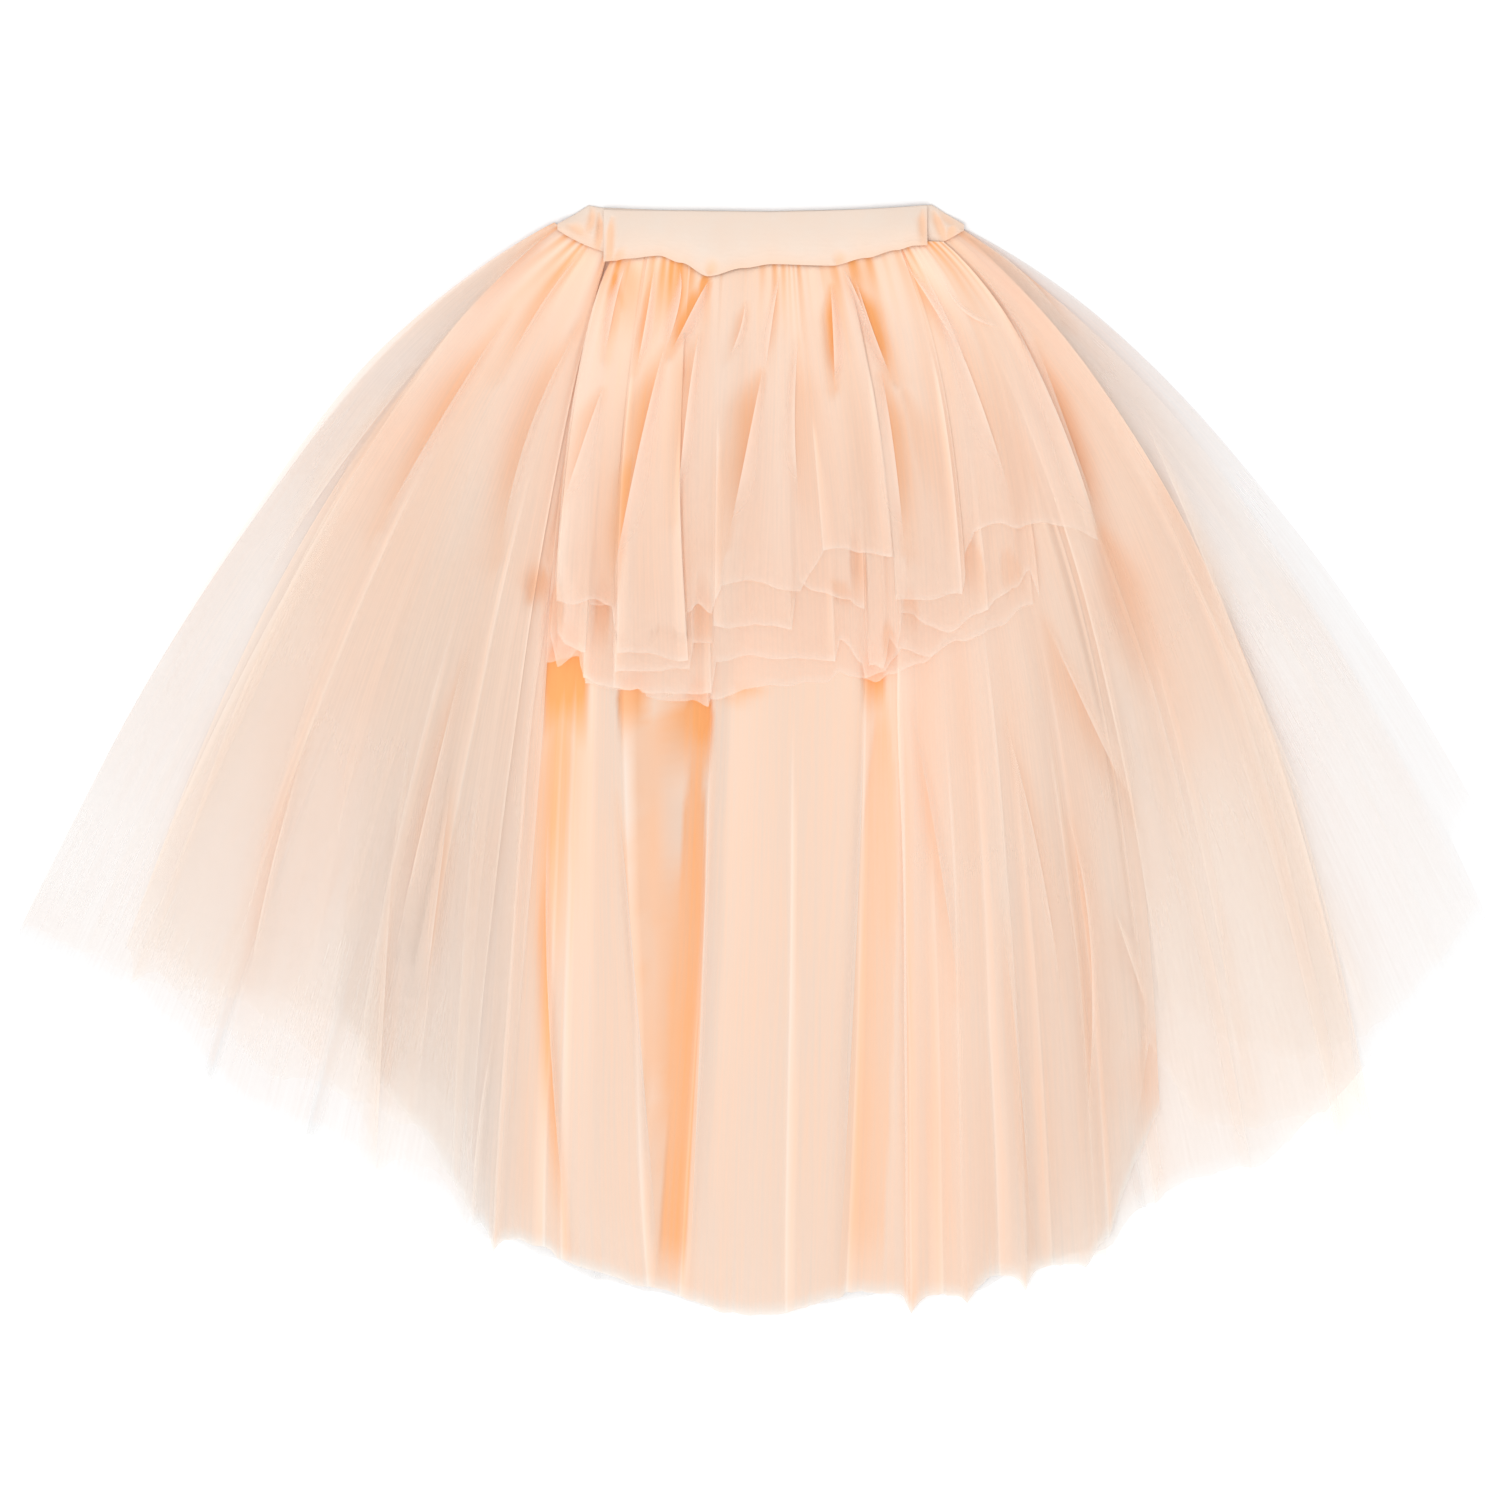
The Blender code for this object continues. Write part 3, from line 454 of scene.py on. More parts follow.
FRONT_BAND_CREASES = creases(
    (-90, 354, -91, 340, -92, 318, 2, -1, 1),
    (-89, 322, -84, 327, -80, 334, 3, 0, 0.5),
    (-27, 313, -25, 320, -22, 327, 4, 0, 0.6),
    (56, 320, 58, 326, 62, 332, 4, 0, 0.5),
    (112, 359, 111, 348, 113, 334, 3, -1, 0.8),
)

# x: place along the waist; bottom: height of the front band's lower edge.
FRONT_SEAM = (
    (-95, 323.0), (-88, 323.5), (-80, 325.0), (-59, 327.0), (-45, 322.5), (-27, 313.5),
    (-4, 319.0), (14, 321.5), (53, 320.5), (75, 325.5), (95, 330.5), (107, 333.4), (115, 333.6),
)


def eased(t):
    """Smooth step from 0 to 1."""
    t = np.clip(t, 0.0, 1.0)
    return t * t * (3.0 - 2.0 * t)


def back_seam(x):
    """The seam between the back band and the long layers."""
    return BACK_SEAM_Y + BACK_SEAM_RISE * (np.abs(x - MIDDLE_X) / BACK_SEAM_HALF) ** 4


def front_seam(x):
    """The seam under the front band."""
    xs, ys = (np.array(column) for column in zip(*FRONT_SEAM))
    x = np.clip(x, xs[0], xs[-1])
    at = np.clip(np.searchsorted(xs, x, side="right") - 1, 0, len(xs) - 2)
    share = eased((x - xs[at]) / (xs[at + 1] - xs[at]))
    return ys[at] + (ys[at + 1] - ys[at]) * share


class HeightField:
    """Heights over the table on a square raster, in metres."""

    def __init__(self):
        low, high = CAD_BOX
        self.x = low[0] - MARGIN
        self.y = low[1] - MARGIN
        columns = int((high[0] - low[0] + 2.0 * MARGIN) / CELL) + 2
        rows = int((high[1] - low[1] + 2.0 * MARGIN) / CELL) + 2
        self.z = np.zeros((rows, columns))

    def spots(self, x, y):
        """Raster coordinates of places, kept inside the raster."""
        rows, columns = self.z.shape
        across = np.clip((x - self.x) / CELL, 0.0, columns - 1.001)
        up = np.clip((y - self.y) / CELL, 0.0, rows - 1.001)
        return across, up

    def at(self, x, y):
        """Height at places, between the four nearest cells."""
        across, up = self.spots(x, y)
        i, j = up.astype(int), across.astype(int)
        return between(self.z, i, j, up - i, across - j)

    def raise_to(self, place):
        """Lift the cells under a grid of points to them."""
        place = refine(place).reshape(-1, 3)
        across, up = self.spots(place[:, 0], place[:, 1])
        cells = np.rint(up).astype(int), np.rint(across).astype(int)
        np.maximum.at(self.z, cells, place[:, 2])


def between(grid, i, j, s, t):
    """Values between the four entries of a grid from row i and column j on."""
    low = grid[i, j] * (1.0 - t) + grid[i, j + 1] * t
    high = grid[i + 1, j] * (1.0 - t) + grid[i + 1, j + 1] * t
    return low * (1.0 - s) + high * s


def refine(grid):
    """A grid of points with more rows and columns."""
    for axis, times in enumerate(RASTER_TIMES):
        count = grid.shape[axis]
        at = np.linspace(0.0, count - 1.0, (count - 1) * times + 1)
        k = np.minimum(at.astype(int), count - 2)
        t = (at - k).reshape([-1 if a == axis else 1 for a in range(grid.ndim)])
        grid = np.take(grid, k, axis) * (1.0 - t) + np.take(grid, k + 1, axis) * t
    return grid


def shifted(field, k, axis):
    """A raster moved by k cells, its edge repeated."""
    reach = abs(k)
    pads = [(0, 0), (0, 0)]
    pads[axis] = (reach, reach)
    padded = np.pad(field, pads, mode="edge")
    cut = [slice(None), slice(None)]
    cut[axis] = slice(reach + k, reach + k + field.shape[axis])
    return padded[tuple(cut)]


def blurred(field, reach):
    """A raster smoothed over a reach in cells."""
    span = int(math.ceil(2.5 * reach))
    weights = [math.exp(-0.5 * (k / reach) ** 2) for k in range(-span, span + 1)]
    for axis in (0, 1):
        moved = zip(weights, range(-span, span + 1))
        field = sum(w * shifted(field, k, axis) for w, k in moved) / sum(weights)
    return field


def spread(field, reach):
    """Each cell raised to the highest within reach cells."""
    for axis in (0, 1):
        field = np.maximum.reduce([shifted(field, k, axis) for k in range(-reach, reach + 1)])
    return field


def smoothed(pile, reach, blur):
    """A copy of a pile of heights, spread over reach cells and blurred."""
    field = HeightField()
    field.z = blurred(spread(pile.z, reach), blur)
    return field


def solid_top(node):
    """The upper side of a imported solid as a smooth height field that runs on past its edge."""
    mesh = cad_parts[node].data
    points = [vertex.co for vertex in mesh.vertices]
    tree = BVHTree.FromPolygons(points, [face.vertices for face in mesh.polygons])
    low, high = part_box(node)
    field = HeightField()
    known = np.zeros_like(field.z)
    down = Vector((0.0, 0.0, -1.0))
    for i in range(field.z.shape[0]):
        y = field.y + i * CELL
        if not low.y <= y <= high.y:
            continue
        for j in range(field.z.shape[1]):
            x = field.x + j * CELL
            if low.x <= x <= high.x:
                hit = tree.ray_cast(Vector((x, y, 1.0)), down)[0]
                if hit is not None:
                    field.z[i, j] = hit.z
                    known[i, j] = 1.0
    near = blurred(known, SOLID_BLUR)
    wide = blurred(known, EDGE_FILL)
    fine = blurred(field.z, SOLID_BLUR) / np.maximum(near, 1e-6)
    coarse = blurred(field.z, EDGE_FILL) / np.maximum(wide, 1e-6)
    # Near the edge the fine blur knows too few cells, and the coarse one takes over.
    share = eased((near - 0.02) / 0.3)
    field.z = np.where(wide > 1e-4, fine * share + coarse * (1.0 - share), 0.0)
    return field


def cloth_noise(rng, u, v, across, down):
    """Seeded smooth noise from -1 to 1 over cloth coordinates, with patches across by down."""
    columns = int(u.max() / across) + 3
    rows = int(v.max() / down) + 3
    knots = rng.uniform(-1.0, 1.0, (rows, columns))
    above = knots[:-1:2][: len(knots[1::2])]
    knots[1::2] = (1.0 - ROW_LIKENESS) * knots[1::2] + ROW_LIKENESS * above
    at, up = u / across, v / down
    j, i = at.astype(int), up.astype(int)
    return between(knots, i, j, eased(up - i), eased(at - j))


def mixed_noise(rng, u, v, mix):
    """The sum of the noises of a mix."""
    return sum(strength * cloth_noise(rng, u, v, across, down) for strength, across, down in mix)


# plan: places in metres; u, v: cloth coordinates in millimetres; share: of the length at
# each row; weight: density from fold to fold; flute: the hem's waves, from -1 to 1;
# doubled, line: where the cloth lies doubled and where the edges of that are; rng: the
# sheet's own random draws.
Sheet = namedtuple("Sheet", "plan u v share weight flute doubled line rng")


def columns_of(layer):
    """Places of a sheet's columns in its fold table: even, and close beside each crisp edge."""
    table = layer.table
    places = [float(len(table) - 1)]
    for k, (a, b) in enumerate(zip(table, table[1:])):
        width = math.hypot(b.hem_x - a.hem_x, b.hem_y - a.hem_y)
        steps = max(2, round(width / layer.pitch))
        places += [k + t / steps for t in range(steps)]
        if a.lap:
            places.append(k + FOLD_EDGE / width)
        if b.lap:
            places.append(k + 1 - FOLD_EDGE / width)
    return np.array(sorted(places))


def path_lengths(points):
    """Distance along each row of points."""
    steps = np.linalg.norm(np.diff(points, axis=-2), axis=-1)
    return np.concatenate([np.zeros(steps.shape[:-1] + (1,)), np.cumsum(steps, axis=-1)], -1)


def doubled_stretches(layer, place, paths, share):
    """Where the cloth lies doubled beside its fold lines, and the crisp edges themselves."""
    doubled, line = np.zeros(paths.shape), np.zeros(paths.shape)
    for k, fold in enumerate(layer.table):
        if fold.lap:
            away = (paths - paths[:, place == k]) * math.copysign(1.0, fold.lap)
            open_share = np.clip((share - fold.start) / (1.0 - fold.start), 0.0, 1.0)[:, None]
            width = np.maximum(abs(fold.lap) * open_share ** FOLD_WIDENS, FOLD_EDGE)
            grown = eased(open_share / FOLD_OPEN)
            inside = eased(away / FOLD_EDGE + 1.0) * (1.0 - eased((away - FOLD_WHOLE * width) / width))
            doubled = np.maximum(doubled, grown * inside)
            line = np.maximum(line, grown * np.exp(-((away / FOLD_EDGE) ** 2)))
    return doubled, line


def curved(start, knee, end, w):
    """Points at the shares w of a curve that leaves its start towards the knee."""
    return start * (1.0 - w) ** 2 + knee * 2.0 * w * (1.0 - w) + end * w ** 2


def fold_ends(layer, place):
    """Where the fold line at each column leaves the seam and meets the hem, and its bow."""
    table = np.array([list(fold) for fold in layer.table], float)
    index = np.arange(len(table))
    seam_x, hem_x, bow = (np.interp(place, index, table[:, c]) for c in (0, 1, 3))
    k = np.minimum(place.astype(int), len(table) - 2)
    run_x, run_y = table[k + 1, 1] - table[k, 1], table[k + 1, 2] - table[k, 2]
    # The hem is smooth over a fold line and straight where it runs along one.
    hem_y = table[k, 2] + run_y * np.where(abs(run_y) > abs(run_x), place - k, eased(place - k))
    return np.stack([seam_x, layer.seam(seam_x)], -1), np.stack([hem_x, hem_y], -1), bow


def sheet_grid(layer):
    """A layer's sheet in plan, with its cloth coordinates, rows by columns."""
    rng = np.random.RandomState(layer.seed)
    place = columns_of(layer)
    head, hem, bow = fold_ends(layer, place)
    unit = (hem - head) / np.linalg.norm(hem - head, axis=1, keepdims=True)
    right = np.stack([-unit[:, 1], unit[:, 0]], -1)
    along = path_lengths(hem)
    flat_v = np.zeros_like(along)
    ragged = mixed_noise(rng, along, flat_v, HEM_NOISE)
    flute = mixed_noise(rng, along, flat_v, ((1.0, layer.flute, 1), (0.5, 0.5 * layer.flute, 1)))
    spike = np.zeros_like(along)
    for at, fold in enumerate(layer.table):
        narrow = np.exp(-np.abs(along - along[place == at]) / SPIKE_WIDTH)
        spike = np.maximum(spike, fold.spike * narrow)
    hem = hem + unit * (spike + layer.ragged * ragged + layer.scallop * flute)[:, None]
    head = head - unit * HEAD_LAP
    length = np.linalg.norm(hem - head, axis=1)
    share = np.linspace(0.0, 1.0, layer.rows)
    knee = head + (hem - head) * BOW_REACH + right * 2.0 * bow[:, None]
    plan = curved(head, knee, hem, share[:, None, None])
    u = np.broadcast_to(along, plan.shape[:2])
    v = share[:, None] * length[None, :]
    sway = mixed_noise(rng, u, v, SWAY_NOISE)
    sway = SWAY * sway * np.sin(math.pi * np.minimum(share, 0.5))[:, None]
    plan = plan + right[None] * sway[:, :, None]
    weight = np.interp(place, *zip(*layer.weights))[None, :] if layer.weights else np.ones((1, 1))
    doubled, line = doubled_stretches(layer, place, path_lengths(plan), share)
    return Sheet(plan * MM, u, v, share, weight, flute[None, :], doubled, line, rng)


def gathering(sheet):
    """How many times closer the cloth's threads lie at each place than at the hem."""
    paths = path_lengths(sheet.plan)
    u = sheet.u[0]
    low, high = (np.clip(u + side * GATHER_SPAN, u[0], u[-1]) for side in (-1.0, 1.0))
    spans = np.stack([np.interp(high, u, path) - np.interp(low, u, path) for path in paths])
    return spans[-1][None, :] / np.maximum(spans, 1e-6)


def seam_gathers(sheet):
    """The tight gathers that run down from the seam, from -1 to 1."""
    u, v, rng = sheet.u, sheet.v, sheet.rng
    seam_width = path_lengths(sheet.plan)[0, -1] / MM
    across = TIGHT_GATHER * u[0, -1] / seam_width
    # The patches are a few gathers wide and some centimetres long.
    turn = u / across + TIGHT_WANDER * cloth_noise(rng, u, v, 5.0 * across, 50.0)
    strength = 1.0 - TIGHT_UNEVEN + TIGHT_UNEVEN * cloth_noise(rng, u, v, 3.0 * across, 60.0)
    wide = cloth_noise(rng, u, v, 2.7 * across, 110.0)
    fine = strength * np.sin(math.pi * turn) * np.exp(-v / TIGHT_REACH)
    return fine + wide * np.exp(-v / (2.0 * TIGHT_REACH))


def waves(layer, sheet, tight):
    """Height of the soft waves that grow to the hem, and of the tight gathers at the seam."""
    share = sheet.share[:, None]
    wander = cloth_noise(sheet.rng, sheet.u, sheet.v, *WANDER_PATCH) * eased(share / WANDER_GROWS)
    broad = sheet.flute * eased(share / WAVES_GROW) + WANDER * wander
    return (layer.wave * broad + FOLD_RISE * sheet.doubled + TIGHT_RISE * tight) * MM


def mesh_from_grids(name, grids):
    """One mesh from grids of (points, uv, {attribute: values}), each rows by columns."""
    points, faces, uvs, values = [], [], [], {}
    start = 0
    for place, uv, attributes in grids:
        rows, columns = place.shape[:2]
        index = start + np.arange(rows * columns).reshape(rows, columns)
        quads = np.stack([index[1:, :-1], index[1:, 1:], index[:-1, 1:], index[:-1, :-1]], -1)
        faces.append(quads.reshape(-1, 4))
        points.append(place.reshape(-1, 3))
        uvs.append(uv.reshape(-1, 2))
        for key, value in attributes.items():
            values.setdefault(key, []).append(value.reshape(-1))
        start += rows * columns
    points, faces, uvs = (np.concatenate(part) for part in (points, faces, uvs))
    mesh = bpy.data.meshes.new(name)
    mesh.from_pydata(points.tolist(), [], faces.tolist())
    layer = mesh.uv_layers.new(name="cloth")
    layer.data.foreach_set("uv", uvs[faces.reshape(-1)].reshape(-1).astype(np.float32))
    for key, parts in values.items():
        attribute = mesh.attributes.new(key, "FLOAT", "POINT")
        attribute.data.foreach_set("value", np.concatenate(parts).astype(np.float32))
    mesh.validate()
    mesh.shade_smooth()
    piece = bpy.data.objects.new(name, mesh)
    bpy.context.scene.collection.objects.link(piece)
    return piece


def crease_line(crease, count):
    """Points along a crease, in metres."""
    start, pull, end = np.reshape(crease[:6], (3, 2)) * MM
    return curved(start, pull, end, np.linspace(0.0, 1.0, count)[:, None])


def beside(crease, x, y):
    """How far places lie from a crease, on which side of it, and how far along it."""
    line = crease_line(crease, LINE_STEPS + 1)
    nearest = np.full(x.shape, 1.0)
    sided, at = np.zeros(x.shape), np.zeros(x.shape)
    for k in range(LINE_STEPS):
        a, run = line[k], line[k + 1] - line[k]
        t = np.clip(((x - a[0]) * run[0] + (y - a[1]) * run[1]) / (run @ run), 0.0, 1.0)
        dx, dy = x - a[0] - t * run[0], y - a[1] - t * run[1]
        away = np.hypot(dx, dy)
        closer = away < nearest
        nearest = np.where(closer, away, nearest)
        sided = np.where(closer, np.sign(dy * run[0] - dx * run[1]), sided)
        at = np.where(closer, (k + t) / LINE_STEPS, at)
    return nearest / MM, sided, at


def within(at, start, end):
    """1 along a crease, with a smooth rise over its start and a smooth fall over its end."""
    return eased(at / start) * eased((1.0 - at) / end)


def one_sided(crease, nearest, sided, at, wide):
    """A hollow on one side of its crease, shallower towards both ends."""
    reach = np.where(sided == crease.side, wide, SHARP_SIDE)
    taper = (SIDE_START + (1.0 - SIDE_START) * eased(at / CREASE_OPEN)) * eased(at / SIDE_FADE)
    ending = 1.0 - SIDE_LOSS * eased((at - 1.0 + CREASE_OPEN) / CREASE_OPEN)
    return taper * ending * np.exp(-((nearest / reach) ** 2))


def two_sided(crease, nearest, at, wide):
    """A soft hollow or a slot on both sides of its crease."""
    slot = crease.side == SLOT
    fade = LONG_FADE if slot and crease.start_y - crease.end_y > LONG_SLOT else SHORT_FADE
    taper = within(at, SLOT_START, fade)
    if slot:
        return taper * (1.0 - eased((nearest - wide) / SLOT_EDGE))
    return taper * np.exp(-((nearest / wide) ** 2))


def hollow_at(table, x, y):
    """How deep in the hollow of a crease each place lies, as a share of HOLLOW_DEPTH."""
    deepest = np.zeros(x.shape)
    for crease in table:
        if crease.depth:
            nearest, sided, at = beside(crease, x, y)
            opened = CREASE_START + (1.0 - CREASE_START) * eased(at / CREASE_OPEN)
            wide = crease.reach * opened
            if crease.side in (-1, 1):
                shape = one_sided(crease, nearest, sided, at, wide)
            else:
                shape = two_sided(crease, nearest, at, wide)
            deepest = np.maximum(deepest, crease.depth * shape)
    return deepest


def film_at(table, x, y):
    """How much cloth the faint folds of a see-through layer add at each place."""
    added = np.zeros(x.shape)
    for crease in table:
        nearest, sided, at = beside(crease, x, y)
        width = np.where(sided == crease.side, crease.reach, FILM_EDGE)
        shape = within(at, FILM_FADE, FILM_FADE) * np.exp(-nearest / width)
        added = np.maximum(added, crease.depth * shape)
    return added


def edge_plies(table):
    """Grids of the folds' upper plies whose rolled edges run along creases."""
    heights = smoothed(PILE, 1, 1.0)
    share, line_strength = np.array(PLY_COLUMNS), np.array(PLY_LINE)
    grids = []
    for crease in table:
        if crease.ply:
            line = crease_line(crease, PLY_POINTS)
            run = np.gradient(line, axis=0)
            run /= np.linalg.norm(run, axis=1, keepdims=True)
            away = np.stack([run[:, 1], -run[:, 0]], -1) * (1.0 if crease.side >= 0 else -1.0)
            along = np.linspace(0.0, 1.0, len(line))
            width = crease.ply * (PLY_START + (1.0 - PLY_START) * eased(along / PLY_OPEN))
            offset = np.outer(width, share) * MM
            place = line[:, None, :] + away[:, None, :] * offset[:, :, None]
            z = heights.at(place[:, :, 0], place[:, :, 1]) + PLY_LIFT * MM
            ends = within(along, PLY_ENDS, PLY_ENDS)
            fade = np.outer(ends, (1.0 - share) ** PLY_FADE)
            uv = np.stack([offset, np.broadcast_to(path_lengths(line)[:, None], offset.shape)], -1)
            rolled = np.outer(ends, line_strength)
            plies = PLY_OPACITY * fade + ROLL_COVER * rolled
            # The rolled edge is paler: painted highlight.
            marks = {"plies": plies, "shade": -ROLL_HIGHLIGHT * rolled}
            grids.append((np.dstack([place, z]), uv, marks))
    return grids


def form_of(x, y):
    """How far each place stands over the pile around it: 1 on a crest, -1 in a valley."""
    near, around = smoothed(PILE, 0, PILE_BLUR), smoothed(PILE, 0, FORM_REACH)
    return np.clip((near.at(x, y) - around.at(x, y)) / (FORM_DEPTH * MM), -1.0, 1.0)


def sheet_heights(layer, sheet, tight, hollow):
    """Heights of a sheet that lies on the pile and follows the solid of its name."""
    base, support = solid_top(layer.name), smoothed(PILE, 1, PILE_BLUR)
    x, y = sheet.plan[:, :, 0], sheet.plan[:, :, 1]
    under = support.at(x, y) + SHEET_GAP * MM
    raised = base.at(x, y) + waves(layer, sheet, tight) - HOLLOW_DEPTH * MM * hollow
    pressed = 1.0 - np.clip((sheet.v - HEAD_LAP) / HEAD_REACH, 0.0, 1.0)
    from_hem = sheet.v[-1] - sheet.v
    loose = (1.0 - pressed ** 3) * (1.0 - HEM_DROOP * eased(1.0 - from_hem / HEM_REACH))
    return under + np.maximum(raised - under, 0.0) * loose


def net_marks(layer, sheet, tight, hollow):
    """How dense and how deep the net is at each point of a sheet that lies on the pile, with painted
    shade and painted light in the depth.
    """
    x, y = sheet.plan[:, :, 0], sheet.plan[:, :, 1]
    from_hem = sheet.v[-1] - sheet.v
    # Painted shade in valleys, hollows, between the seam's gathers and near the seam; painted light on
    # crests and on the gathers' sides.
    form = form_of(x, y) * eased(from_hem / HEM_REACH) * eased(sheet.v / HEM_REACH)
    tone = np.where(form > 0.0, CREST_HIGHLIGHT, VALLEY_SHADE) * -form
    tone = tone + TIGHT_SHADE * np.maximum(-tight, -TIGHT_LIGHT)
    tone = np.clip(hollow + (tone + SEAM_SHADE * np.exp(-sheet.v / SEAM_REACH)), -1.0, DEEPEST)
    streaks = bpy.context.scene.skirt_tulle.streaks
    uneven = streaks * layer.mottle * mixed_noise(sheet.rng, sheet.u, sheet.v, STREAK_NOISE)
    thickness = layer.cover * np.exp(layer.body * (1.0 - sheet.share))[:, None]
    thinned = HEM_THIN * np.exp(-from_hem / HEM_THIN_REACH)
    frayed = HEM_FRAY * np.exp(-from_hem / HEM_FRAY_REACH)
    thickness = thickness * (1.0 - (thinned + frayed))
    doubled = (1.0 + FOLD_PLIES * sheet.doubled) * (1.0 + film_at(layer.films, x, y))
    density = gathering(sheet) ** GATHER_POWER * thickness * sheet.weight * doubled
    # Painted highlight along rolled fold edges; cut edges are paler too.
    rolled = LAP_ROLL * sheet.line
    light = ROLL_HIGHLIGHT * rolled + CUT_LIGHT * np.exp(-from_hem / CUT_EDGE)
    return {
        "plies": density * np.maximum(1.0 + uneven, THINNEST) + ROLL_COVER * rolled,
        "shade": layer.tone + UNEVEN_TONE * uneven + HOLLOW_SHADE * tone - light,
    }


def lay_sheet(layer, top):
    """Lay one gathered sheet on the pile; the top one carries the folds' rolled edges."""
    sheet = sheet_grid(layer)
    hollow = hollow_at(layer.creases, sheet.plan[:, :, 0], sheet.plan[:, :, 1])
    tight = seam_gathers(sheet)
    place = np.dstack([sheet.plan, sheet_heights(layer, sheet, tight, hollow)])
    PILE.raise_to(place)
    uv = np.stack([sheet.u, sheet.v], -1) * MM
    grids = [(place, uv, net_marks(layer, sheet, tight, hollow))]
    if top:
        grids += edge_plies(layer.creases)
    piece = mesh_from_grids(layer.name + "_net", grids)
    piece.data.materials.append(tulle_of(layer.kind))
    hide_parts(layer.name)
    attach(piece, "root")


def lay_sheets(layers):
    """Lay sheets on each other, the last one as the top."""
    for layer in layers:
        lay_sheet(layer, layer is layers[-1])


class Graph:
    """Short hands for building a node tree."""

    def __init__(self, tree):
        self.tree = tree

    def add(self, kind, **settings):
        """A new shader node with its settings."""
        node = self.tree.nodes.new("ShaderNode" + kind)
        for key, value in settings.items():
            setattr(node, key, value)
        return node

    def feed(self, socket, value):
        """Set a socket, or link it when the value is an output."""
        if isinstance(value, bpy.types.NodeSocket):
            self.tree.links.new(value, socket)
        else:
            socket.default_value = value

    def math(self, operation, *values):
        """A Math node's result; numbers and outputs may be mixed."""
        node = self.add("Math", operation=operation)
        for socket, value in zip(node.inputs, values):
            self.feed(socket, value)
        return node.outputs[0]

    def mark(self, name):
        """A value kept on the mesh's points."""
        return self.add("Attribute", attribute_name=name).outputs["Fac"]

    def cloth(self):
        """Cloth coordinates in metres."""
        return self.add("UVMap", uv_map="cloth").outputs[0]

    def noise(self, scale, detail, roughness=0.5):
        """Noise from 0 to 1 over the cloth, stretched by scale."""
        stretched = self.add("VectorMath", operation="MULTIPLY")
        self.feed(stretched.inputs[0], self.cloth())
        stretched.inputs[1].default_value = scale
        node = self.add("TexNoise", noise_dimensions="2D")
        self.feed(node.inputs["Vector"], stretched.outputs[0])
        node.inputs["Scale"].default_value = 1.0
        node.inputs["Detail"].default_value = detail
        node.inputs["Roughness"].default_value = roughness
        return node.outputs["Fac"]

    def blend(self, factor, first, second):
        """A mix of two colours."""
        node = self.add("Mix", data_type="RGBA")
        self.feed(node.inputs[0], factor)
        node.inputs[6].default_value = (*first, 1.0)
        node.inputs[7].default_value = (*second, 1.0)
        return node.outputs[2]


def group(name, inputs, outputs, fill):
    """A shader node group with named sockets, filled once by a function."""
    found = bpy.data.node_groups.get(name)
    if found:
        return found
    tree = bpy.data.node_groups.new(name, "ShaderNodeTree")
    for label, default in inputs:
        socket = tree.interface.new_socket(label, in_out="INPUT", socket_type="NodeSocketFloat")
        socket.default_value = default
    for label in outputs:
        tree.interface.new_socket(label, in_out="OUTPUT", socket_type="NodeSocketFloat")
    given, result = tree.nodes.new("NodeGroupInput"), tree.nodes.new("NodeGroupOutput")
    g = Graph(tree)
    for label, value in zip(outputs, fill(g, given.outputs)):
        g.feed(result.inputs[label], value)
    return tree


def net(g, given):
    """Soft gathered net: how much it covers and its tone, deeper where it is dense, with the painted
    shade and light of its shade mark.
    """
    thread = g.noise(THREAD_SCALE, 1.0)
    thread = g.math("MULTIPLY", g.math("SUBTRACT", thread, 0.5), given["Threads"])
    density = g.math("MULTIPLY", g.mark("plies"), g.math("ADD", thread, 1.0))
    open_share = g.math("POWER", g.math("SUBTRACT", 1.0, given["Ply Opacity"]), density)
    cover = g.math("MULTIPLY", g.math("SUBTRACT", 1.0, open_share), FULL_COVER)
    cover = g.math("MINIMUM", cover, 1.0)
    tone = g.math("MULTIPLY_ADD", cover, given["Depth"], g.mark("shade"))
    return cover, g.math("MULTIPLY_ADD", thread, UNEVEN_TONE, tone)


def knit(g, given):
    """Fine jersey: tone and relief of its wales and courses, with the painted shade of its creases and
    seam.
    """
    parts = g.add("SeparateXYZ")
    g.feed(parts.inputs[0], g.cloth())
    turns = 2.0 * math.pi / MM
    across, down = (g.math("MULTIPLY", parts.outputs[axis], turns) for axis in (0, 1))
    wale = g.math("ABSOLUTE", g.math("SINE", g.math("DIVIDE", across, given["Wale Spacing"])))
    lean = g.math("MULTIPLY", wale, COURSE_LEAN)
    course = g.math("SINE", g.math("ADD", g.math("DIVIDE", down, given["Course Spacing"]), lean))
    rows = g.math("MULTIPLY", course, 1.0 - WALE_SHARE)
    loops = g.math("MULTIPLY_ADD", wale, WALE_SHARE, rows)
    cloud = g.noise(CLOUD_SCALE, 3.0, 0.6)
    tone = g.math("MULTIPLY_ADD", cloud, CLOUD_TONE, g.math("MULTIPLY", loops, LOOP_TONE))
    # Painted shade in the jersey's creases and at its seam.
    tone = g.math("MINIMUM", g.math("ADD", tone, g.mark("hollow")), 1.0)
    return tone, g.math("MULTIPLY_ADD", cloud, CLOUD_RELIEF, loops)


def cloth_group(g, label, inputs, outputs, fill):
    """The outputs of a group node whose inputs are set as given."""
    node = g.add("Group", node_tree=group(label, inputs, outputs, fill))
    for key, value in inputs:
        node.inputs[key].default_value = value
    return node.outputs


def new_material(name, roughness, specular):
    """A material with its graph and Principled shader."""
    made = bpy.data.materials.new(name)
    made.use_nodes = True
    shader = made.node_tree.nodes["Principled BSDF"]
    shader.inputs["Roughness"].default_value = roughness
    shader.inputs["Specular IOR Level"].default_value = specular
    return made, Graph(made.node_tree), shader


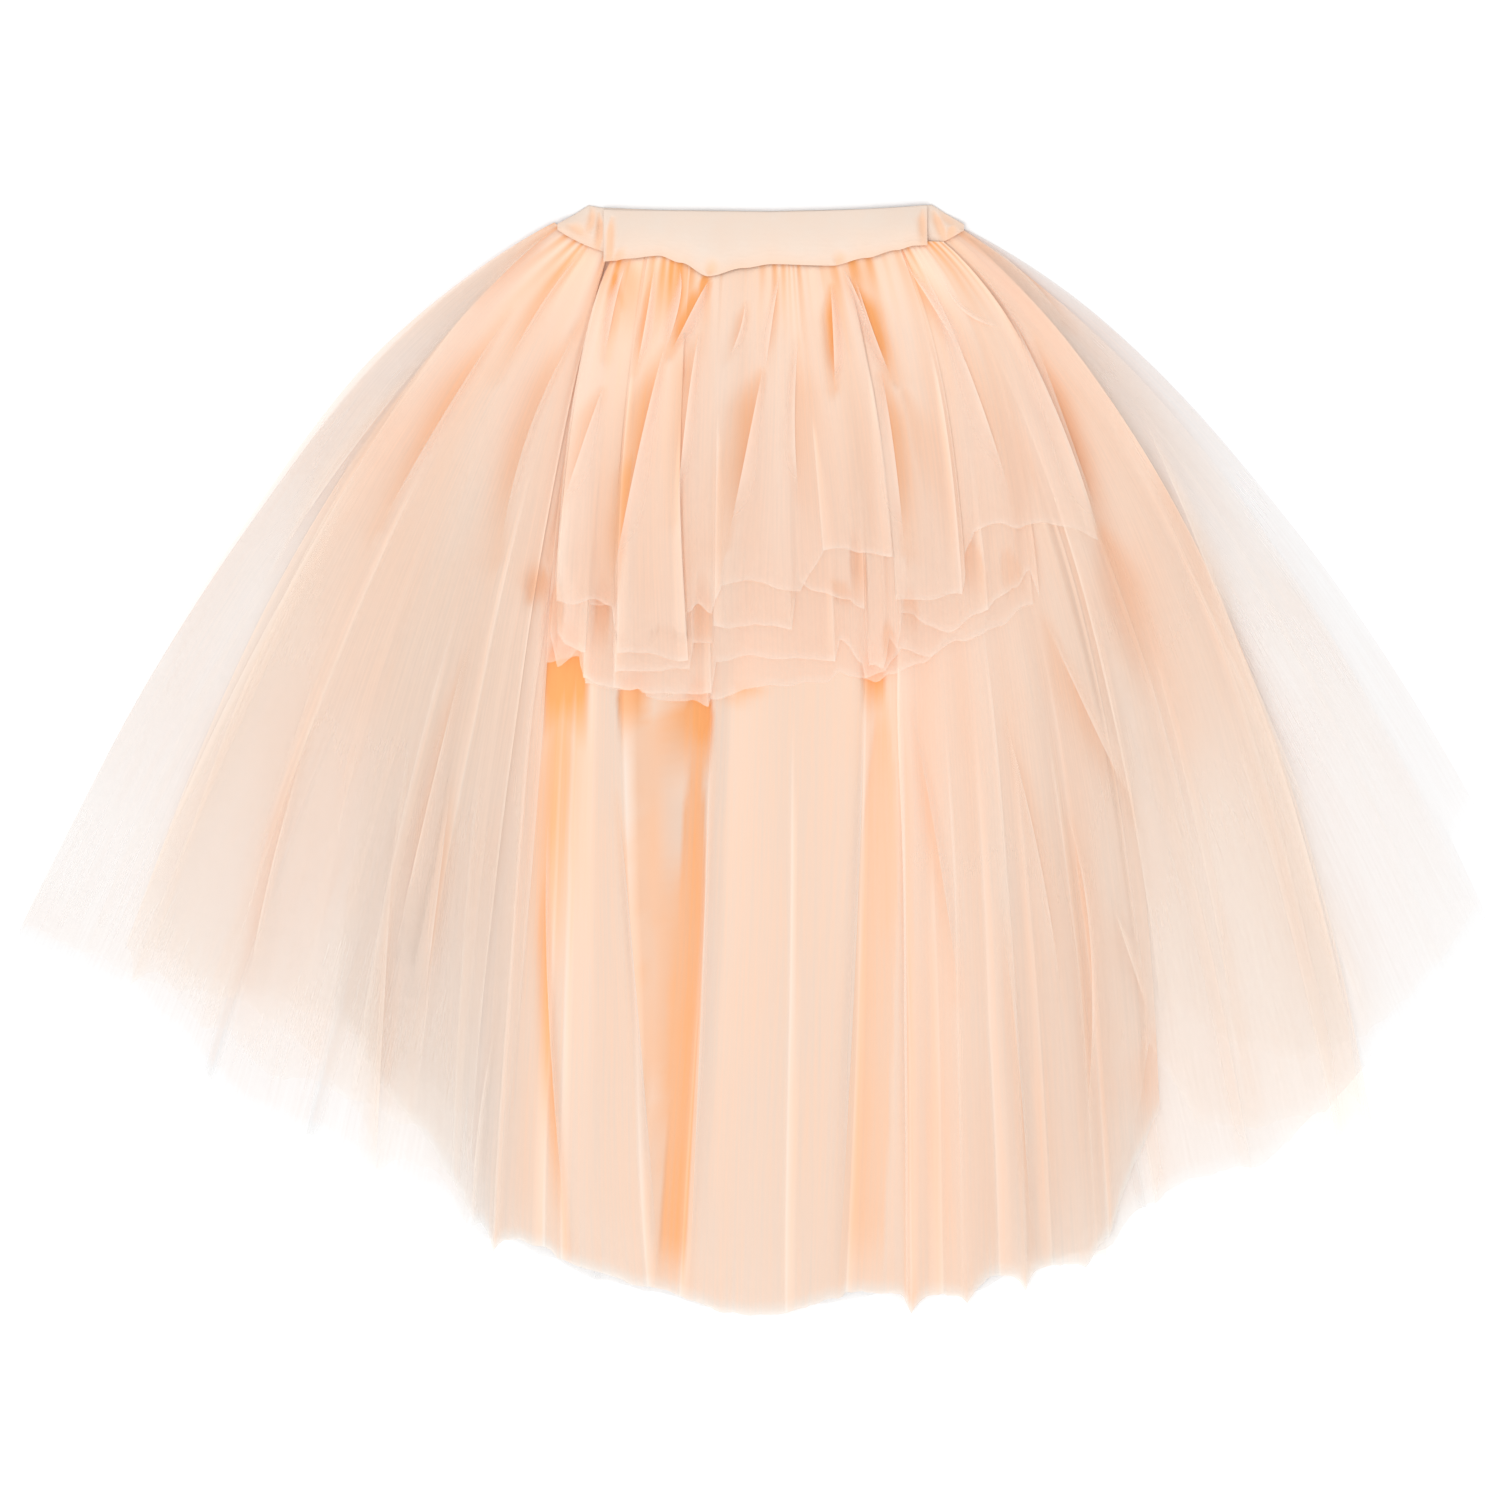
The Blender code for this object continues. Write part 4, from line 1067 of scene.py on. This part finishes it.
def tulle_of(kind):
    """Net of one kind: see-through between its threads, with a painted highlight on rolled edges,
    paler cut edges and painted shade in hollows.
    """
    name = kind + "_tulle_net"
    found = bpy.data.materials.get(name)
    if found:
        return found
    look = bpy.context.scene.skirt_tulle
    # The centre net colour is a darker, greyer copy of the light one: painted shade for the flat
    # innermost back ply.
    light, opacity = {
        "outer": (look.sheer, look.outer_opacity),
        "inner": (look.light, look.inner_opacity),
        "shaded_centre": (look.shaded_centre, look.inner_opacity),
        "front": (look.light, look.front_opacity),
    }[kind]
    inputs = (("Ply Opacity", opacity), ("Depth", look.depth), ("Threads", look.threads))
    made, g, shader = new_material(name, roughness=0.9, specular=0.0)
    cloth = cloth_group(g, "Gathered Net", inputs, ("Opacity", "Tone"), net)
    g.feed(shader.inputs["Base Color"], g.blend(cloth["Tone"], light, look.deep))
    g.feed(shader.inputs["Alpha"], cloth["Opacity"])
    return made


def jersey():
    """The waistband's knit, with painted shade in its creases and at its seam."""
    found = bpy.data.materials.get("peach_jersey")
    if found:
        return found
    look = bpy.context.scene.skirt_band
    inputs = (("Wale Spacing", look.wale / MM), ("Course Spacing", look.course / MM))
    made, g, shader = new_material("peach_jersey", roughness=0.75, specular=0.2)
    cloth = cloth_group(g, "Fine Jersey", inputs, ("Tone", "Height"), knit)
    g.feed(shader.inputs["Base Color"], g.blend(cloth["Tone"], look.light, look.deep))
    bump = g.add("Bump")
    bump.inputs["Strength"].default_value = 0.4
    bump.inputs["Distance"].default_value = JERSEY_RELIEF
    g.feed(bump.inputs["Height"], cloth["Height"])
    g.feed(shader.inputs["Normal"], bump.outputs[0])
    shader.inputs["Sheen Weight"].default_value = 0.15
    shader.inputs["Sheen Roughness"].default_value = 0.5
    return made


# How dense a layer's net is from fold to fold of its table: (fold, share).
OUTER_WEIGHTS = ((0, 1.2), (8, 1.0), (20, 0.9), (24, 0.85), (28, 0.85))
MIDDLE_WEIGHTS = ((0, 1.5), (3, 1.2), (8, 0.8), (18, 1.0), (20, 1.4), (23, 1.9), (27, 1.7))
INNER_WEIGHTS = ((0, 0.12), (4, 0.25), (7, 1.0), (21, 1.0), (25, 0.6), (29, 0.35))
LEFT_WEIGHTS = ((0, 0.4), (1, 0.45), (2, 0.9), (7, 1.0))
RIGHT_WEIGHTS = ((0, 1.0), (3, 0.8), (4, 0.4), (6, 0.3))

# wave: height of the soft waves; flute: width of cloth in half a wave; cover: plies at the
# hem; body: how fast they grow to the waist; rows: from seam to hem; pitch: spacing of the
# columns at the hem; scallop: how far the waves sway the hem; ragged: unevenness of the
# cut hem; mottle: how cloudy the net is; kind: its material; tone: painted shade, how much
# deeper the layer looks all over; weights, creases, films: its tables.
Layer = namedtuple(
    "Layer",
    "name table seed wave flute cover body"
    " seam rows pitch scallop ragged mottle kind tone weights creases films",
    defaults=(back_seam, 96, 3.0, 3.0, 1.5, 1.0, "inner", 0.0, None, (), ()),
)

BACK_LAYERS = (
    Layer("back_outer_tulle", OUTER_BACK_FOLDS, 11, wave=0.3, flute=50, cover=1.3, body=0.0,
          rows=72, pitch=5.0, scallop=2.0, ragged=1.0, mottle=0.3, kind="outer",
          weights=OUTER_WEIGHTS),
    Layer("back_middle_tulle", MIDDLE_BACK_FOLDS, 12, wave=1.5, flute=40, cover=0.45, body=1.6,
          rows=72, pitch=5.0, mottle=0.8, weights=MIDDLE_WEIGHTS),
    # The innermost back ply: its centre colour and its tone are painted shade.
    Layer("back_inner_tulle", INNER_BACK_FOLDS, 13, wave=1.0, flute=50, cover=6.5, body=0.2,
          scallop=2.0, ragged=1.0, mottle=0.35, kind="shaded_centre", tone=0.11,
          weights=INNER_WEIGHTS, creases=BACK_CREASES),
)
LEFT_LAYERS = (
    Layer("left_inner_tulle", LEFT_INNER_FOLDS, 14, wave=2.5, flute=40, cover=0.4, body=2.4,
          creases=LEFT_CREASES, films=LEFT_FILMS),
    Layer("left_outer_tulle", LEFT_OUTER_FOLDS, 15, wave=3.0, flute=45, cover=0.6, body=1.5,
          weights=LEFT_WEIGHTS, creases=LEFT_CREASES, films=LEFT_FILMS),
)
RIGHT_LAYERS = (
    # tone: a little painted shade on the right layers.
    Layer("right_inner_tulle", RIGHT_INNER_FOLDS, 16, wave=2.5, flute=40, cover=0.55, body=2.1,
          tone=0.02, creases=RIGHT_CREASES, films=RIGHT_FILMS),
    Layer("right_outer_tulle", RIGHT_OUTER_FOLDS, 17, wave=3.0, flute=45, cover=0.5, body=1.4,
          tone=0.02, weights=RIGHT_WEIGHTS, creases=RIGHT_CREASES, films=RIGHT_FILMS),
)
# tone: painted shade on the layers that lie under the front's top.
UNDER_FRONT = dict(
    flute=20, cover=1.0, body=0.5, seam=front_seam, rows=64, pitch=1.5, ragged=0.4, mottle=0.5,
    kind="front", tone=0.05, creases=UNDER_CREASES,
)
FRONT_LAYERS = (
    Layer("front_first_tulle", FRONT_LONGEST_FOLDS, 18, wave=1.5, **UNDER_FRONT),
    Layer("front_second_tulle", FRONT_LONG_FOLDS, 19, wave=1.5, **UNDER_FRONT),
    Layer("front_third_tulle", FRONT_SHORT_FOLDS, 20, wave=2.0, **UNDER_FRONT),
    Layer("front_top_tulle", FRONT_TOP_FOLDS, 21, wave=2.5, flute=22, cover=1.0, body=0.8,
          seam=front_seam, rows=80, pitch=1.5, ragged=0.4, mottle=0.6, kind="front",
          creases=FRONT_CREASES),
)
PILE = HeightField()

BAND_COLUMNS = 300
BAND_THICK = 1.4  # two plies of jersey and the air between them
BAND_ROUND = 2.5  # how far in from an edge its roundness reaches
BAND_PUFF = 1.2  # how high the band's middle stands off what it lies on
BAND_END = 12.0  # how far from its ends the band is drawn down
BAND_PRESS = 0.9  # how much of its thickness it loses at its seam and its ends
BAND_CREASE = 2.5  # depth of the deepest crease in the jersey
BAND_RIPPLE = 0.35  # height of the ripples at its seam
RIPPLE_PATCH = (9.0, 60.0)  # their width and length
RIPPLE_RUN = 40.0  # cloth over which they grow, from the top edge to the seam
BAND_SEED = 31
BAND_SEAM_SHADE = 0.38  # painted shade: how much deeper the jersey looks at its seam
BAND_SEAM_REACH = 6.0  # how far from the seam that reaches
BAND_OVER = np.linspace(1.0, 0.0, 48)
BAND_UNDER = np.linspace(0.04, 1.0, 8)

# Each half's top edge: place along the waist and height on the table.
BACK_EDGES = (
    (-125, 348.0), (-114, 354.5), (-105, 360.5), (-97, 359.0), (-60, 357.5), (7, 356.5),
    (74, 358.0), (110, 359.5), (118, 361.0), (128, 354.5), (139, 348.0),
)
FRONT_EDGES = (
    (-95, 358.0), (-88, 357.5), (-80, 357.3), (-59, 357.0), (-27, 356.8),
    (14, 356.2), (53, 357.2), (75, 358.0), (95, 359.0), (115, 360.5),
)


def band(name, edges, seam, table):
    """Half of the waistband: a strip doubled over its top edge, open at the seam."""
    rng = np.random.RandomState(BAND_SEED)
    ends, heights = (np.array(column) for column in zip(*edges))
    xs = np.linspace(ends[0], ends[-1], BAND_COLUMNS)
    tops, lows = np.interp(xs, ends, heights), seam(xs)
    mean_depth = float((tops - lows).mean())
    from_end = np.minimum(xs - xs[0], xs[-1] - xs)
    ends_drawn = np.maximum(0.0, 1.0 - from_end / BAND_END) ** 3
    support = smoothed(PILE, 2, SOLID_BLUR)
    z_top, z_seam = support.at(xs * MM, tops * MM), support.at(xs * MM, lows * MM)
    rows, uvs, hollows = [], [], []
    for v, upper in [(v, True) for v in BAND_OVER] + [(v, False) for v in BAND_UNDER]:
        x, y = xs * MM, (tops + (lows - tops) * v) * MM
        edge = min(1.0, v * mean_depth / BAND_ROUND)
        rounding = 0.5 * (1.0 - math.sqrt(1.0 - (1.0 - edge) ** 2))
        thick = BAND_THICK * (1.0 - BAND_PRESS * np.maximum(v ** 4, ends_drawn))
        lying = z_top + (z_seam - z_top) * math.sin(0.5 * math.pi * v)
        lying = lying + BAND_PUFF * MM * math.sin(math.pi * v)
        pressed = support.at(x, y)
        top = np.maximum(pressed, lying + (pressed - lying) * ends_drawn) + (SHEET_GAP + thick) * MM
        hollow = hollow_at(table, x, y)
        run = np.full(xs.shape, RIPPLE_RUN * v)
        ripple = cloth_noise(rng, xs - xs[0], run, *RIPPLE_PATCH) * v ** 3
        creased = top + (BAND_RIPPLE * ripple - BAND_CREASE * hollow) * MM
        top = np.maximum(creased, pressed + (SHEET_GAP + thick) * MM)
        depth = rounding if upper else 1.0 - rounding
        rows.append(np.stack([x, y, top - depth * thick * MM], -1))
        uvs.append(np.stack([x, y], -1))
        # Painted shade in the jersey's creases and at its seam.
        seam_shade = BAND_SEAM_SHADE * np.exp((v - 1.0) * (tops - lows) / BAND_SEAM_REACH)
        hollows.append(np.clip(hollow + seam_shade, 0.0, 1.0))
    place, uv, hollows = np.stack(rows), np.stack(uvs), np.stack(hollows)
    piece = mesh_from_grids(name + "_jersey", [(place, uv, {"hollow": hollows})])
    PILE.raise_to(place[:len(BAND_OVER)])
    piece.data.materials.append(jersey())
    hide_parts(name)
    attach(piece, "root")


def colour(name, description, default):
    """A colour of the sidebar's settings."""
    return FloatVectorProperty(
        name=name, description=description, subtype="COLOR", size=3, min=0, max=1, default=default
    )


def share_of(name, description, default, highest=1.0):
    """A share of the sidebar's settings."""
    return FloatProperty(
        name=name, description=description, subtype="FACTOR", min=0, max=highest, default=default
    )


class SkirtTulle(bpy.types.PropertyGroup):
    """How the net looks."""

    sheer: colour("Sheer", "Colour of the outer, paler net", (0.73, 0.72, 0.718))
    light: colour("Light", "Net colour where it is pale", (0.975, 0.832, 0.716))
    # A shaded copy of the light net colour: painted shade for the flat innermost back ply.
    shaded_centre: colour("Centre", "Pale net colour of the back's innermost ply", (0.827, 0.798, 0.745))
    # Deep: the net's own colour where it is dense, and the painted shade of hollows, valleys, gathers,
    # the seam and shaded layers.
    deep: colour("Deep", "Net colour in hollows and denser streaks", (0.90, 0.397, 0.147))
    outer_opacity: share_of("Outer Opacity", "Cover of one outer ply at the hem", 0.22)
    inner_opacity: share_of("Inner Opacity", "Cover of one inner ply at the hem", 0.22)
    front_opacity: share_of("Front Opacity", "Cover of one front ply at the hem", 0.45)
    depth: share_of("Depth", "How much deeper the colour is where the net is dense", 0.34, 2.0)
    streaks: share_of("Streaks", "Unevenness along the length", 0.5, 2.0)
    threads: share_of("Threads", "Fine unevenness", 0.3, 2.0)


class SkirtBand(bpy.types.PropertyGroup):
    """How the waistband looks."""

    light: colour("Light", "Jersey colour", (0.797, 0.695, 0.609))
    # Deep: the painted shade of the jersey's creases and seam, and its tone between the loops.
    deep: colour("Deep", "Jersey colour in creases and between its loops", (0.895, 0.577, 0.395))
    wale: FloatProperty(
        name="Wale", description="Spacing of the knit's columns", unit="LENGTH", default=0.0009
    )
    course: FloatProperty(
        name="Course", description="Spacing of the knit's rows", unit="LENGTH", default=0.0008
    )


class SkirtStudio(bpy.types.PropertyGroup):
    """Light and floor."""

    floor: colour("Floor", "Floor colour", (0.93, 0.93, 0.93))
    sky: FloatProperty(name="Sky", description="Strength of the even light", min=0, default=0.85)
    key: FloatProperty(
        name="Key", description="Power of the large lamp", unit="POWER", min=0, default=41.5
    )


class SKIRT_OT_back_layers(bpy.types.Operator):
    """Lay the three long back layers on the table"""

    bl_idname = "skirt.back_layers"
    bl_label = "Back Layers"

    def execute(self, context):
        lay_sheets(BACK_LAYERS)
        return {"FINISHED"}


class SKIRT_OT_side_layers(bpy.types.Operator):
    """Lay the side layers over the back"""

    bl_idname = "skirt.side_layers"
    bl_label = "Side Layers"

    def execute(self, context):
        lay_sheets(LEFT_LAYERS)
        lay_sheets(RIGHT_LAYERS)
        return {"FINISHED"}


class SKIRT_OT_back_band(bpy.types.Operator):
    """Lay the waistband's back half"""

    bl_idname = "skirt.back_band"
    bl_label = "Back Band"

    def execute(self, context):
        band("waistband_back", BACK_EDGES, back_seam, BACK_BAND_CREASES)
        return {"FINISHED"}


class SKIRT_OT_front_layers(bpy.types.Operator):
    """Lay the four short front layers"""

    bl_idname = "skirt.front_layers"
    bl_label = "Front Layers"

    def execute(self, context):
        lay_sheets(FRONT_LAYERS)
        return {"FINISHED"}


class SKIRT_OT_front_band(bpy.types.Operator):
    """Lay the waistband's front half"""

    bl_idname = "skirt.front_band"
    bl_label = "Front Band"

    def execute(self, context):
        band("waistband_front", FRONT_EDGES, front_seam, FRONT_BAND_CREASES)
        return {"FINISHED"}


def linked(name, data, location):
    """A new object of the scene."""
    made = bpy.data.objects.new(name, data)
    bpy.context.scene.collection.objects.link(made)
    made.location = location
    return made


class SKIRT_OT_studio(bpy.types.Operator):
    """Make the floor, the lights and the camera"""

    bl_idname = "skirt.studio"
    bl_label = "Studio"

    def execute(self, context):
        look = context.scene.skirt_studio
        bpy.ops.mesh.primitive_plane_add(size=8.0, location=(0.0, 0.0, FLOOR_Z))
        floor = context.object
        floor.name = "floor"
        white, _, shader = new_material("floor_white", roughness=0.9, specular=0.0)
        shader.inputs["Base Color"].default_value = (*look.floor, 1.0)
        floor.data.materials.append(white)
        world = bpy.data.worlds.new("even_light")
        world.use_nodes = True
        background = world.node_tree.nodes["Background"]
        background.inputs["Color"].default_value = (1.0, 1.0, 1.0, 1.0)
        background.inputs["Strength"].default_value = look.sky
        context.scene.world = world
        lamp = bpy.data.lights.new("key", "AREA")
        lamp.energy = look.key
        lamp.shape = "DISK"
        lamp.size = LAMP_SIZE
        key = linked("key", lamp, LAMP_AT)
        key.rotation_euler = (-key.location).to_track_quat("-Z", "Y").to_euler()
        lens = bpy.data.cameras.new("camera")
        lens.sensor_width = SENSOR
        lens.lens = SENSOR * CAMERA_AT[2] / VIEW_WIDTH
        lens.clip_end = 50.0
        context.scene.camera = linked("camera", lens, CAMERA_AT)
        context.scene.view_settings.view_transform = "Standard"
        context.scene.cycles.transparent_max_bounces = 12
        context.scene.cycles.diffuse_bounces = 6
        context.scene.cycles.use_light_tree = False
        return {"FINISHED"}


STEPS = (
    SKIRT_OT_back_layers, SKIRT_OT_side_layers, SKIRT_OT_back_band,
    SKIRT_OT_front_layers, SKIRT_OT_front_band, SKIRT_OT_studio,
)


class SKIRT_PT_panel(bpy.types.Panel):
    """The skirt's steps in the sidebar"""

    bl_idname = "SKIRT_PT_panel"
    bl_label = "Tulle Skirt"
    bl_space_type = "VIEW_3D"
    bl_region_type = "UI"
    bl_category = "Skirt"

    def draw(self, context):
        for step in STEPS:
            self.layout.operator(step.bl_idname)


CLASSES = (SkirtTulle, SkirtBand, SkirtStudio, *STEPS, SKIRT_PT_panel)


def register():
    for each in CLASSES:
        bpy.utils.register_class(each)
    bpy.types.Scene.skirt_tulle = PointerProperty(type=SkirtTulle)
    bpy.types.Scene.skirt_band = PointerProperty(type=SkirtBand)
    bpy.types.Scene.skirt_studio = PointerProperty(type=SkirtStudio)


def unregister():
    del bpy.types.Scene.skirt_tulle
    del bpy.types.Scene.skirt_band
    del bpy.types.Scene.skirt_studio
    for each in reversed(CLASSES):
        bpy.utils.unregister_class(each)


def main():
    """Build the skirt and the studio."""
    register()
    bpy.ops.skirt.back_layers()
    bpy.ops.skirt.side_layers()
    bpy.ops.skirt.back_band()
    bpy.ops.skirt.front_layers()
    bpy.ops.skirt.front_band()
    bpy.ops.skirt.studio()


if __name__ == "__main__":
    main()
